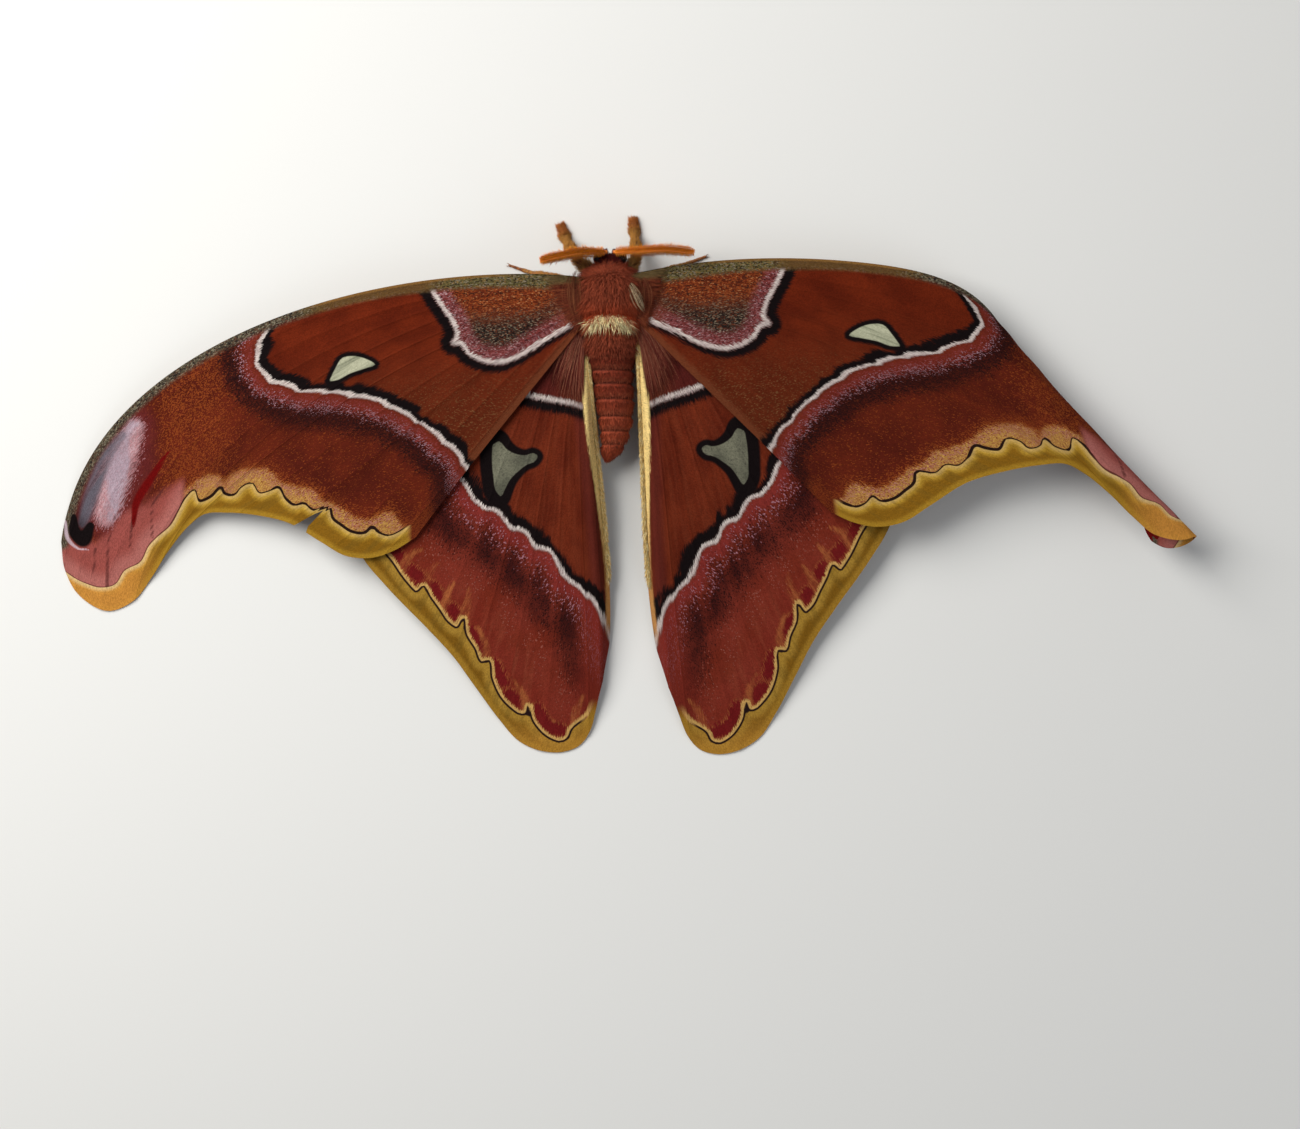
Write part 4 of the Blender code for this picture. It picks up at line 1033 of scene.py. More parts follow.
def paint_hindwing(name, underside=False):
    """The hindwing's pattern, from the base to the margin."""
    material, paint, band, sprinkle = start_wing_paint(name)
    inner, outer, window = (paint.value(n) for n in ("inner_line", "outer_line", "window"))
    border, margin = paint.value("border_line"), paint.value("from_margin")
    inner_edge = paint.value("from_inner_edge")
    place = paint.node("SeparateXYZ", {"Vector": paint.vector("plan")})
    out, ahead = place.outputs["X"], place.outputs["Y"]
    ramp, times, lay = paint.ramp, paint.times, paint.lay
    second_pick = paint.sum("FRACT", paint.sum("ADD", paint.pick, paint.shade))
    between_veins = ramp(paint.value("from_vein"), 0.4, 2.2)
    outer = paint.sum("ADD", outer, ramp(between_veins, 0, 1, -0.28, 0.1))

    # The red field, then the maroon base with its long hairs
    paint.coat = paint.blend(paint.cloud, HIND_BROWN, HIND_RED)
    lay(srgb(116, 54, 34), ramp(paint.stroke, 0.2, 1.0), 0.22)
    lay(srgb(86, 34, 30), band(inner_edge, 1.5, 4.0, 0.6, 1.0), 0.6)
    base = ramp(inner, 0.2, -0.8)
    lay(MAROON, base)
    lay(srgb(92, 36, 30), base, paint.hair, 0.6)
    lay(srgb(122, 66, 42), base, ramp(out, 13, 6), paint.hair, 0.8)

    # The crimson field beyond the second line, smoky between the veins
    beyond = ramp(outer, 0.3, 1.2)
    lay(paint.blend(paint.cloud, CRIMSON_BROWN, srgb(120, 46, 34)), beyond)
    lay(CRIMSON_PALE, beyond, ramp(outer, 13, 22), ramp(paint.stroke, 0.3, 1.0), 0.55)
    lay(srgb(124, 44, 40), beyond, band(outer, 0.5, 3.2, 1.2, 0.8), 0.8)
    shadow = times(band(outer, 4.2, 11, 3.2, 3.2), beyond, ramp(between_veins, 0, 1, 0.7, 1.0))
    shadow = times(shadow, ramp(out, 2, 9, 0.3, 1.0))
    lay(WINE_DARK, shadow, ramp(paint.cloud, 0.2, 0.9, 0.9, 0.6))
    lay(BROWN_BLACK, sprinkle(times(shadow, 0.3), second_pick), beyond, 0.8)
    specks = times(band(outer, 2.2, 5.6, 2.4, 1.8), ramp(between_veins, 0, 1, 0.1, 0.15))
    lay(srgb(150, 102, 112), sprinkle(specks, paint.grain), beyond)
    lay(srgb(134, 74, 62), sprinkle(times(band(outer, 11, 17, 3.0, 2.0), between_veins, 0.08)), beyond)

    # White lines and their black borders, then the window in its frame
    whites = paint.blend(paint.hair, LINE_GREY, LINE_WHITE)
    lay(LINE_BLACK, band(inner, 0.0, 2.3, 1.2, 0.5))
    lay(whites, band(inner, -0.85, 0.1, 0.9, 0.25), ramp(inner_edge, 1.6, 2.6))
    black_from = ramp(paint.cloud, 0.15, 0.85, -3.0, -1.6)
    lay(LINE_BLACK, band(outer, black_from, -0.1, 1.0, 0.45))
    lay(whites, band(outer, -0.3, 0.5, 0.6, 0.2))
    frame_width = ramp(out, 17, 24, 1.2, 2.6)
    lay(LINE_BLACK, ramp(paint.sum("SUBTRACT", window, frame_width), 0.3, -0.3))
    clear = ramp(window, 0.1, -0.15)
    glassy = paint.blend(paint.cloud, srgb(110, 109, 92), srgb(80, 80, 68))
    lay(paint.blend(times(sprinkle(0.12), 0.6), glassy, srgb(70, 66, 60)), clear)

    # Red spots and flames, the cream line, the black line and the yellow border
    within = ramp(border, 0.0, -0.3)
    lay(srgb(116, 38, 28), ramp(border, -8, -2), beyond, 0.5)
    spots = paint.ragged(paint.value("red_spots"), 0.8)
    lay(SPOT_RED, ramp(spots, 1.2, 0.8), within, 0.75)
    ring = ramp(paint.sum("ABSOLUTE", paint.sum("SUBTRACT", spots, 1.2)), 0.34, 0.1)
    lay(FLAME_ORANGE, ring, ramp(paint.hair, 0.4, 0.8), within, 0.5)
    flame = paint.ragged(paint.value("flames"), 1.4)
    lay(FLAME_ORANGE, ramp(flame, 1.5, 0.3), ramp(paint.stroke, 0.1, 0.8, 0.35, 1.0), within, 0.62)
    outside = paint.sum("MAXIMUM", ramp(out, 4, 9), ramp(ahead, -84, -88))
    lay(srgb(192, 152, 88), band(border, -0.8, 0.1, 0.6, 0.18), outside)
    yellows = paint.blend(ramp(border, 0.8, 2.4), srgb(158, 122, 48), srgb(120, 84, 22))
    yellows = paint.blend(times(ramp(paint.stroke, 0.4, 0.9), 0.4), yellows, srgb(106, 80, 28))
    yellows = paint.blend(ramp(margin, 1.8, 0.7), yellows, srgb(150, 112, 38))
    yellows = paint.blend(times(ramp(ahead, -86, -94), 0.6), yellows, srgb(166, 118, 46))
    lay(yellows, ramp(border, 0.0, 0.25), outside)
    off_line = paint.sum("SUBTRACT", paint.sum("ABSOLUTE", border), 0.2)
    lay(srgb(34, 20, 20), ramp(off_line, 0.12, -0.08), ramp(out, 4.6, 6.6))

    # The rolled edge along the abdomen: cream above, tan lower down
    strip = paint.blend(ramp(ahead, -40, -60), STRIP_CREAM, STRIP_TAN)
    strip_width = ramp(ahead, -28, -60, 1.9, 1.0)
    frayed = paint.ragged(paint.sum("SUBTRACT", inner_edge, strip_width), 0.4)
    speckled = paint.blend(times(sprinkle(0.1), 0.5), strip, srgb(104, 72, 42))
    lay(speckled, ramp(frayed, 0.2, -0.2), ramp(ahead, -72, -67))

    if underside:
        lay(DUSTY, 0.45)
    return finish_wing_paint(material, paint, clear)


HINDWING_TOP = paint_hindwing("hindwing_scales")
HINDWING_UNDER = paint_hindwing("hindwing_underside", underside=True)
print("hindwing nodes:", len(HINDWING_TOP.node_tree.nodes))

# %% [markdown]
# ## The wings as thin closed sheets
#
# A wing is a membrane stiffened by veins that stand up as fine ridges, with the skin
# sagging a little between them. Columns of the grid run along the veins and crowd
# together beside them, so the ridges stay sharp without a fine grid everywhere. The
# upper and lower faces are the middle surface pushed out along its normals, joined by a rim.

# %% Build the four wings
VEIN_RISE = 0.15
FLOOR_GAP = 0.02
RIM_SHIFT = 0.9
VEIN_HALF_WIDTH = 0.34
SAG_BETWEEN_VEINS = 0.1
TEAR_AT, TEAR_HALF_WIDTH, TEAR_DEPTH = 0.7175, 0.009, 0.085


def crowded_columns(veins, per_cell):
    """Values of v from 0 to 1, closer together beside each vein: s - 0.8 sin(2 pi s) / (2 pi)."""
    stops = np.concatenate([[0.0], veins, [1.0]])
    v = [0.0]
    for low, high in zip(stops[:-1], stops[1:]):
        count = max(6, int(round(per_cell * (high - low))))
        s = np.arange(1, count + 1) / count
        v.extend(low + (high - low) * (s - 0.8 * np.sin(2 * math.pi * s) / (2 * math.pi)))
    return np.array(v)


def vein_distance(v, veins, mm_per_v):
    """How far across the wing the nearest vein is, in millimetres."""
    gap = np.abs(v[..., None] - np.array(veins)).min(axis=-1)
    return gap * mm_per_v


def surface_normals(points):
    """Unit normals of a grid of points, turned to the upper side."""
    normal = unit(np.cross(np.gradient(points, axis=1), np.gradient(points, axis=0)))
    middle = normal[len(normal) // 8, normal.shape[1] // 2]
    return normal if middle[2] > 0 else -normal


def running_length(points, axis):
    """Length walked so far along one axis of a grid of points."""
    steps = np.linalg.norm(np.diff(points, axis=axis), axis=-1)
    start = np.zeros_like(np.take(steps, [0], axis=axis))
    return np.concatenate([start, np.cumsum(steps, axis=axis)], axis=axis)


def torn(u, v):
    """Pulls the margin in to a ragged notch: the depth falls off either side of TEAR_AT."""
    across = (v - TEAR_AT) / TEAR_HALF_WIDTH
    ragged = 1 + 0.25 * np.sin(9 * across + 6 * u)
    return u * (1 - TEAR_DEPTH * np.clip(1.15 - np.abs(across) * ragged, 0, 1) ** 0.7)


def make_wing(name, plan_shape, surface, markings, side, rows, per_cell, materials, tear=False):
    """One wing as a closed sheet of two faces, with what its material reads at every point."""
    columns = crowded_columns(plan_shape.veins, per_cell)
    t = np.linspace(0, 1, rows)
    u = np.repeat((1 - (1 - t) ** 1.3)[:, None], len(columns), axis=1)
    v = np.repeat(columns[None, :], rows, axis=0)
    if tear:
        u = torn(u, v)
    middle = surface(u, v, side)
    plan = plan_shape.at(u, v)
    along, across = running_length(plan, 0), running_length(plan, 1)
    mm_per_v = np.gradient(across, axis=1) / np.gradient(v, axis=1)
    from_vein = vein_distance(v, plan_shape.veins, mm_per_v)
    fade = smoothstep(u, 0.03, 0.12) * (1 - 0.6 * u)
    sag = -SAG_BETWEEN_VEINS * (1 - bell(from_vein, 0, 2.2)) * smoothstep(u, 0.1, 0.4)
    rise = VEIN_RISE * bell(from_vein, 0, VEIN_HALF_WIDTH) * fade
    normal = surface_normals(middle)
    thick = MEMBRANE_HALF + 0.25 * bell(v, 0, 0.012) * (1 - u)
    upper = middle + normal * (thick + sag + rise)[..., None]
    lower = middle + normal * (sag - thick - 0.4 * rise)[..., None]
    lower[..., 2] = np.maximum(lower[..., 2], FLOOR_GAP)
    upper[..., 2] = np.maximum(upper[..., 2], lower[..., 2] + MEMBRANE_HALF)

    top = grid_quads(rows, len(columns))
    count = rows * len(columns)
    index = np.arange(count).reshape(rows, len(columns))
    rim = np.concatenate([index[:, 0], index[-1, 1:], index[-2::-1, -1], index[0, -2:0:-1]])
    after = np.roll(rim, -1)
    sides = np.stack([rim, after, after + count, rim + count], axis=1)
    facing_up = np.cross(middle[1, 1] - middle[1, 0], middle[2, 0] - middle[1, 0])[2] > 0
    if not facing_up:
        top, sides = top[:, ::-1], sides[:, ::-1]
    bottom = (top + count)[:, ::-1]
    faces = np.concatenate([top, bottom, sides[:, ::-1]])
    below = np.concatenate([np.zeros(len(top)), np.ones(len(bottom)), np.zeros(len(sides))])
    points = np.concatenate([upper.reshape(-1, 3), lower.reshape(-1, 3)])
    piece = make_piece(name + "_sheet", points, [faces], materials, face_material=below)

    flat = plan.reshape(-1, 2)
    seed = np.full(len(flat), 0.0 if side == LEFT else 37.0)
    known = markings(flat, plan_shape.edge(0.0), plan_shape.edge(1.0), plan_shape.edge())
    known["from_vein"] = from_vein.ravel()
    known["plan"] = np.column_stack([flat, seed])
    known["fan"] = np.column_stack([along.ravel(), v.ravel(), seed])
    known["reach"] = u.ravel()
    store(piece, **{key: np.concatenate([value, value]) for key, value in known.items()})
    # The lower face's scales are shifted, so that the rim between the faces isn't drawn out in bars
    flow = np.column_stack([along.ravel(), across.ravel(), seed])
    store(piece, flow=np.concatenate([flow, flow + (RIM_SHIFT, RIM_SHIFT, 0)]))
    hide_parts(name)
    print(piece.name, len(faces) * 2, "triangles")
    return piece


for side in (LEFT, RIGHT):
    make_wing(
        "forewing_" + SIDE_NAMES[side], FOREWING, forewing_surface, forewing_markings, side,
        190, 200, (FOREWING_TOP, FOREWING_UNDER), tear=side == LEFT,
    )
    make_wing(
        "hindwing_" + SIDE_NAMES[side], HINDWING, hindwing_surface, hindwing_markings, side,
        170, 150, (HINDWING_TOP, HINDWING_UNDER),
    )

# %% [markdown]
# ## The body's skin
#
# Under the fur the head, thorax and abdomen are one continuous surface, so no seam shows.
# It is a tube of rings from the face to the tail. Three shapes set each ring's size, the
# head, the thorax and the abdomen, and where they overlap they run together like soap
# bubbles: the size is the sixth root of the sum of their sixth powers. Each shape is the
# CAD solid's own, drawn in by the depth of the coat that will stand on it.

# %% Rings of the body
THORAX_LENGTH, THORAX_WIDTH, THORAX_HEIGHT, THORAX_Z = 15.6, 16.4, 12.6, 10.2
HEAD_AT = np.array([0.2, 7.2, 8.0])
HEAD_SIZE = np.array([6.6, 6.0, 6.0])
ABDOMEN_START, ABDOMEN_LENGTH = -5.5, 28.6
ABDOMEN_STATIONS = np.array([
    (0.0, 11.4, 0.2), (0.15, 11.8, 0.2), (0.29, 9.8, 0.35), (0.40, 8.6, 0.7), (0.55, 8.1, 1.15),
    (0.72, 6.9, 1.4), (0.84, 5.6, 1.1), (0.93, 4.4, 0.4), (1.0, 3.2, -0.4),
])
ABDOMEN_GROOVES = np.array([-9.4, -11.9, -14.8, -17.6, -20.8, -24.4, -27.5, -30.3])
COAT_DEPTH = {"head": 0.75, "thorax": 2.2, "abdomen": 0.12}
BODY_FRONT, BODY_BACK = 9.7, -34.0
SHOULDER_SQUARE = 2.6


def body_rings(y):
    """Half width, half height and centre of the skin's ring, y ahead of the thorax's centre."""
    deep = COAT_DEPTH["thorax"]
    t = y / (THORAX_LENGTH / 2 - 0.5 * deep)
    bulge = np.clip(1 - np.abs(t) ** SHOULDER_SQUARE, 0, None) ** (1 / SHOULDER_SQUARE)
    wide, high = THORAX_WIDTH / 2 - deep, THORAX_HEIGHT / 2 - 0.8 * deep
    thorax = (wide * bulge * (1 - 0.06 * t), high * bulge, 0 * y, THORAX_Z - 0.4 * t)
    h = (y - HEAD_AT[1]) / (HEAD_SIZE[1] / 2 - 0.6 * COAT_DEPTH["head"])
    round_head = np.sqrt(np.clip(1 - h**2, 0, None))
    wide, high = HEAD_SIZE[0] / 2 - COAT_DEPTH["head"], HEAD_SIZE[2] / 2 - COAT_DEPTH["head"]
    head = (wide * round_head, high * round_head, 0 * y + HEAD_AT[0], 0 * y + HEAD_AT[2])
    s = (ABDOMEN_START - y) / ABDOMEN_LENGTH
    width = np.interp(s, ABDOMEN_STATIONS[:, 0], ABDOMEN_STATIONS[:, 1]) / 2 - COAT_DEPTH["abdomen"]
    width = np.clip(width, 0.2, None) * np.sqrt(np.clip((s + 0.16) / 0.16, 0, 1))
    grooves = np.abs(y[:, None] - ABDOMEN_GROOVES[None]).min(axis=1)
    ringed = smoothstep(s, 0.1, 0.2) * smoothstep(s, 0.95, 0.85)
    width = width * (1 - 0.1 * bell(grooves, 0, 0.55) * ringed + 0.03)
    width = width * np.sqrt(np.clip((y - BODY_BACK + 0.1) / 2.0, 0.0, 1.0))
    sway = np.interp(s, ABDOMEN_STATIONS[:, 0], ABDOMEN_STATIONS[:, 2])
    s_in = np.clip(s, 0, 1)
    abdomen = (width, 0.96 * width, sway, 8.7 - 0.6 * s_in - 2.8 * s_in**2)
    parts = (thorax, head, abdomen)
    half_width, half_height = (sum(np.clip(p[k], 0, None) ** 6 for p in parts) ** (1 / 6) for k in (0, 1))
    weights = np.array([np.clip(p[0], 1e-3, None) ** 3 for p in parts])
    centres = [(weights * np.array([p[k] for p in parts])).sum(axis=0) / weights.sum(axis=0) for k in (2, 3)]
    return half_width, half_height, *centres


def body_surface(y, angle):
    """Points of the skin. The angle is 0 on the back, a quarter turn at the moth's right side."""
    half_width, half_height, centre_x, centre_z = body_rings(np.atleast_1d(y))
    s, c = np.sin(angle), np.cos(angle)
    fuller = 2 / (2 + 0.35 * smoothstep(np.abs(y), 8.0, 4.0))
    x = centre_x + half_width * np.sign(s) * np.abs(s) ** fuller
    z = centre_z + half_height * np.sign(c) * np.abs(c) ** fuller
    return np.stack([x + THORAX_AT[0], y + THORAX_AT[1], z], axis=-1)


def body_normals(y, angle, step=0.02):
    """Outward unit normals of the skin, from points a short step away both ways."""
    along = body_surface(y - step, angle) - body_surface(y + step, angle)
    around = body_surface(y, angle + step) - body_surface(y, angle - step)
    return unit(np.cross(along, around))


probe = body_normals(np.array([0.0, -20.0]), np.array([0.0, 0.0]))
NORMAL_SIGN = 1.0 if probe[0, 2] > 0 else -1.0
print("skin half width at the thorax, mm:", round(float(body_rings(np.array([0.0]))[0][0]), 2))

# %% [markdown]
# ## The body's colours
#
# Skin and fur must agree, so their colours come from one function of the place on the
# body: red-brown velvet, dark red on the head that is partly painted shade under the feelers,
# a cream collar behind the thorax, paler seams between the rings of the abdomen that are partly
# painted highlight on each ring's rear lip, with painted shade down in each groove, the abdomen
# paler towards the tail as painted light where it slopes away from the lamp, and a tan belly.
# It mixes whole arrays of colours, and both the skin and the tufts store the result as an attribute.

# %% Colour at each place on the body


def mix_colours(base, colour, mask):
    """The base colours, with a colour laid over them where the mask is 1."""
    mask = np.asarray(mask, float)[..., None]
    return base * (1 - mask) + np.array(colour[:3]) * mask


def body_colours(y, angle, rng):
    """Linear colours at places on the body, before each tuft's own light and dark."""
    x = np.sin(angle) * body_rings(y)[0]
    upper = np.cos(angle)
    tail = smoothstep(y, -8.5, -12.0)
    on_top = tail * smoothstep(upper, -0.2, 0.6)
    fold = np.abs(y[:, None] - ABDOMEN_GROOVES[None]).min(axis=1)
    lip = np.abs(y[:, None] - ABDOMEN_GROOVES[None] - 0.75).min(axis=1)
    base = np.tile(linear_rgb(146, 68, 45), (len(y), 1))
    for colour, mask in (
        (srgb(172, 66, 32), 0.85 * bell(y, -2.6, 2.2) * smoothstep(upper, 0.2, 0.9)),
        (srgb(100, 40, 28), 0.7 * smoothstep(upper, 0.5, -0.1)),
        # Dark red on the head, partly painted shade under the feelers
        (srgb(80, 22, 20), smoothstep(y, 6.9, 7.6)),
        (srgb(126, 50, 31), tail),
        # Painted light: the abdomen made paler towards the tail, where it slopes down away from the lamp
        (srgb(158, 70, 44), 0.7 * smoothstep(y, -18.0, -27.0)),
        # Paler rear lip of each ring on top: partly pale hair tips, partly painted highlight
        (srgb(172, 96, 68), 0.5 * on_top * bell(lip, 0, 0.35)),
        # Painted shade: a dark line down in each groove between the rings
        (srgb(46, 18, 12), 0.8 * tail * bell(fold, 0, 0.3)),
        (srgb(206, 186, 160), 0.8 * (bell(np.abs(angle), 1.75, 0.2) * bell(fold, 1.4, 0.7) * tail)),
        (srgb(164, 112, 74), 0.85 * smoothstep(upper, -0.45, -0.85) * smoothstep(y, 6.6, 5.6)),
    ):
        base = mix_colours(base, colour, mask)
    arched = y + 0.07 * x**2 + 0.35 * rng.standard_normal(len(y))
    collar = smoothstep(arched, -5.3, -4.8) * smoothstep(arched, -3.4, -3.9)
    collar = collar * smoothstep(np.abs(x - 0.2), 4.2, 3.7) * smoothstep(upper, 0.0, 0.3)
    base = mix_colours(base, srgb(236, 222, 170), collar)
    speck = collar * (rng.random(len(y)) < 0.15)
    return mix_colours(base, srgb(176, 152, 88), speck)


def make_skin_material(name):
    """The stored colour, broken up finely, with a soft short-haired relief."""
    material, paint, shader = new_material(name, specular=0.12)
    where = paint.node("TexCoord").outputs["Object"]
    noise = paint.stretched_noise(where, (2600.0, 900.0, 2600.0), 3.0)
    tint = paint.vector("tint")
    lit = paint.lit(tint, paint.ramp(noise, 0.3, 0.7, 0.7, 1.15))
    paint.feed(shader.inputs["Base Color"], lit)
    paint.feed(shader.inputs["Roughness"], paint.ramp(noise, 0.3, 0.7, 0.85, 0.65))
    paint.relief(shader, noise, 0.7, 0.15)
    return material


def make_fur_material(name):
    """A hair's stored colour, darker at its root and paler at its tip."""
    material, paint, shader = new_material(name, specular=0.12)
    light = paint.ramp(paint.value("up_hair"), 0.0, 1.0, 0.6, 1.3)
    paint.feed(shader.inputs["Base Color"], paint.lit(paint.vector("tint"), light))
    paint.feed(shader.inputs["Roughness"], paint.ramp(paint.value("up_hair"), 0.0, 1.0, 0.75, 0.5))
    return material


SKIN_MATERIAL = make_skin_material("body_skin")
FUR_MATERIAL = make_fur_material("body_fur")

# %% Build the skin
SKIN_RINGS, SKIN_SIDES = 240, 96


def facing_out(points, faces):
    """The faces as they are, or turned over where they enclose a negative volume."""
    volume = 0.0
    for corner in range(1, faces.shape[1] - 1):
        a, b, c = points[faces[:, 0]], points[faces[:, corner]], points[faces[:, corner + 1]]
        volume += float((a * np.cross(b, c)).sum())
    return faces if volume > 0 else faces[:, ::-1]


def tube_faces(rings, sides):
    """Quads round a tube and fans at both ends, to one more point at each end."""
    quads = grid_quads(rings, sides, wrap=True)
    j = np.arange(sides)
    k = (j + 1) % sides
    first, last = rings * sides, rings * sides + 1
    start = np.stack([np.full(sides, first), k, j], axis=1)
    end = np.stack([np.full(sides, last), (rings - 1) * sides + j, (rings - 1) * sides + k], axis=1)
    return quads, np.concatenate([start, end])


def closed_tube(rings, first, last):
    """Points and outward faces of a tube given as rings of points and its two end points."""
    count, sides = rings.shape[:2]
    points = np.concatenate([rings.reshape(-1, 3), [first], [last]])
    quads, fans = tube_faces(count, sides)
    turned = facing_out(points, quads)
    if turned is not quads:
        fans = fans[:, ::-1]
    return points, [turned, fans]


def make_skin():
    """One closed tube over head, thorax and abdomen, in place of the three CAD solids."""
    ends_closer = 0.5 + 0.5 * np.cos(np.linspace(0, math.pi, SKIN_RINGS))
    share = 0.35 * ends_closer + 0.65 * np.linspace(1, 0, SKIN_RINGS)
    y = BODY_BACK + (BODY_FRONT - BODY_BACK) * share
    y[0], y[-1] = BODY_FRONT - 0.04, BODY_BACK + 0.02
    angle = np.linspace(-math.pi, math.pi, SKIN_SIDES, endpoint=False)
    all_y = np.repeat(y, SKIN_SIDES)
    all_angle = np.tile(angle, SKIN_RINGS)
    rings = body_surface(all_y, all_angle).reshape(SKIN_RINGS, SKIN_SIDES, 3)
    first, last = rings[0].mean(axis=0) + (0, 0.1, 0), rings[-1].mean(axis=0) - (0, 0.15, 0)
    points, faces = closed_tube(rings, first, last)
    skin = make_piece("body_skin", points, faces, (SKIN_MATERIAL,))
    tint = body_colours(all_y, all_angle, np.random.default_rng(4))
    store(skin, tint=np.concatenate([tint, tint[:1], tint[-1:]]))
    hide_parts("head", "thorax", "abdomen")
    return skin


skin = make_skin()
print("skin:", len(skin.data.vertices), "points")

# %% [markdown]
# ## Tufts of fur
#
# A tuft is a thin lock with three flat sides that tapers to a point: a path of a few
# points, a ring of three corners round each, and a single tip. All tufts of a piece are
# built at once, as one array of paths. Every tuft also gets a small patch of its own on
# the map called OFBake, at its root's place on the skin unrolled flat, so that the
# baked colours of neighbouring tufts belong together.

# %% Tufts from an array of paths
TUFT_PATCH = 0.003
TUFT_THICKNESS, TUFT_TAPER = 0.55, 0.55


def tuft_mesh(paths, half_widths, upward):
    """Points and faces of many tufts. paths is tufts x points x 3, and the last point is the tip.

    The ring at a path point is a triangle, half_width wide and half as thick, round the path.
    """
    tufts, count = paths.shape[:2]
    along = unit(np.diff(paths, axis=1))
    wide = unit(np.cross(along, upward[:, None, :]))
    thick = np.cross(along, wide)
    taper = np.linspace(1.0, TUFT_TAPER, count - 1) * half_widths[:, None]
    turn = (math.pi / 2 + 2 * math.pi / 3 * np.arange(3))[:, None]
    ring = np.cos(turn) * wide[:, :, None] + TUFT_THICKNESS * np.sin(turn) * thick[:, :, None]
    rings = paths[:, :-1, None] + taper[:, :, None, None] * ring
    points = np.concatenate([rings.reshape(tufts, -1, 3), paths[:, -1:]], axis=1)
    per_tuft = points.shape[1]
    quads = [
        (low + i, low + (i + 1) % 3, low + 3 + (i + 1) % 3, low + 3 + i)
        for low in range(0, 3 * (count - 2), 3) for i in range(3)
    ]
    last = 3 * (count - 2)
    fans = [(last + i, last + (i + 1) % 3, per_tuft - 1) for i in range(3)] + [(2, 1, 0)]
    offset = (np.arange(tufts) * per_tuft)[:, None, None]
    quads = (np.array(quads)[None] + offset).reshape(-1, 4)
    fans = (np.array(fans)[None] + offset).reshape(-1, 3)
    up_hair = np.concatenate([np.repeat(np.linspace(0, 1, count)[:-1], 3), [1.0]])
    return points.reshape(-1, 3), [quads, fans], per_tuft, np.tile(up_hair, tufts)


def make_tufts(name, paths, half_widths, upward, tint, root_uv, material):
    """One piece of many tufts, with each tuft's colour, its height up the hair and its patch."""
    points, faces, per_tuft, up_hair = tuft_mesh(paths, half_widths, upward)
    points[:, 2] = np.maximum(points[:, 2], FLOOR_GAP)
    piece = make_piece(name, points, faces, (material,))
    store(piece, tint=np.repeat(tint, per_tuft, axis=0), up_hair=up_hair)
    corner = np.linspace(0, 2 * math.pi, per_tuft, endpoint=False)
    patch = TUFT_PATCH / 2 * np.stack([np.cos(corner), np.sin(corner)], axis=1)
    store_uv(piece, "OFBake", (root_uv[:, None] + patch[None]).reshape(-1, 2))
    triangles = len(faces[0]) * 2 + len(faces[1])
    print(name, len(paths), "tufts,", triangles, "triangles")
    return piece


def body_uv(y, angle):
    """A place on the skin unrolled flat: round the body across, along the body up."""
    across = 0.5 + 0.47 * angle / math.pi
    up = 0.03 + 0.94 * (y - BODY_BACK) / (BODY_FRONT - BODY_BACK)
    return np.stack([across, up], axis=1)


def scatter_on_body(rng, count, y_range, angle_range):
    """Random places on the skin, spread evenly over its area: more where the body is wide."""
    y = rng.uniform(*y_range, 4 * count)
    keep = rng.random(4 * count) < body_rings(y)[0] / (THORAX_WIDTH / 2)
    y = y[keep][:count]
    return y, rng.uniform(*angle_range, len(y))


def combed_paths(roots, normals, flow, lengths, lift, points=4, droop=0.6):
    """Paths that leave the skin at an angle of lift and bend down along the flow to their tips."""
    flat = unit(flow - normals * (flow * normals).sum(axis=1, keepdims=True))
    s = np.linspace(0, 1, points)[None, :, None]
    rise = np.sin(lift)[:, None, None] * (s - 0.5 * droop * s * s)
    reach = np.cos(lift)[:, None, None] * s
    step = reach * flat[:, None] + rise * normals[:, None]
    return roots[:, None] - 0.15 * normals[:, None] + lengths[:, None, None] * step


# %% [markdown]
# ## The coat of the body
#
# The thorax wears long soft fur that lies back towards the tail and fans out over the
# wing roots. Its rear edge is the cream collar, whose hairs hang ragged over the first
# ring of the abdomen. The abdomen is covered with short fur lying flat, ring by ring, and
# the head with the shortest, which parts round the eyes. Lengths and lift vary from tuft
# to tuft, since even fur looks like plastic.

# %% Fur on thorax, collar, abdomen and head
COLLAR_TRIM = 0.62
FUR_OFF_FLOOR = 0.3
EYE_RADIUS, EYE_SQUASH = 1.55, 0.86
EYE_AT = np.array([2.25, 1.75, -0.7])


def grow_fur(
    name, seed, count, y_range, length_range, lift_range, half_width,
    spread=0.25, angle_range=(-math.pi, math.pi), outward=0.35, back=1.0, keep=None,
):
    """Fur on a stretch of the body, combed back along -Y and outward over the shoulders."""
    rng = np.random.default_rng(seed)
    y, angle = scatter_on_body(rng, count, y_range, angle_range)
    if keep is not None:
        chosen = keep(y, angle)
        y, angle = y[chosen], angle[chosen]
    roots = body_surface(y, angle)
    normals = NORMAL_SIGN * body_normals(y, angle)
    flow = np.stack([outward * np.sin(angle), np.full(len(y), -back), np.full(len(y), -0.15)], axis=1)
    flow = flow + spread * rng.standard_normal(flow.shape)
    lengths = rng.uniform(*length_range, len(y)) * rng.uniform(0.8, 1.15, len(y))
    before_collar = bell(y, -2.6, 1.3) * smoothstep(np.abs(angle), 1.1, 0.7)
    lengths *= 1 - COLLAR_TRIM * before_collar
    lift = rng.uniform(*lift_range, len(y))
    paths = combed_paths(roots, normals, flow, lengths, lift)
    paths[..., 2] = np.maximum(paths[..., 2], FUR_OFF_FLOOR)
    tint = body_colours(y, angle, rng) * rng.uniform(0.62, 1.4, (len(y), 1))
    widths = half_width * rng.uniform(0.7, 1.3, len(y))
    return make_tufts(name, paths, widths, normals, tint, body_uv(y, angle), FUR_MATERIAL)


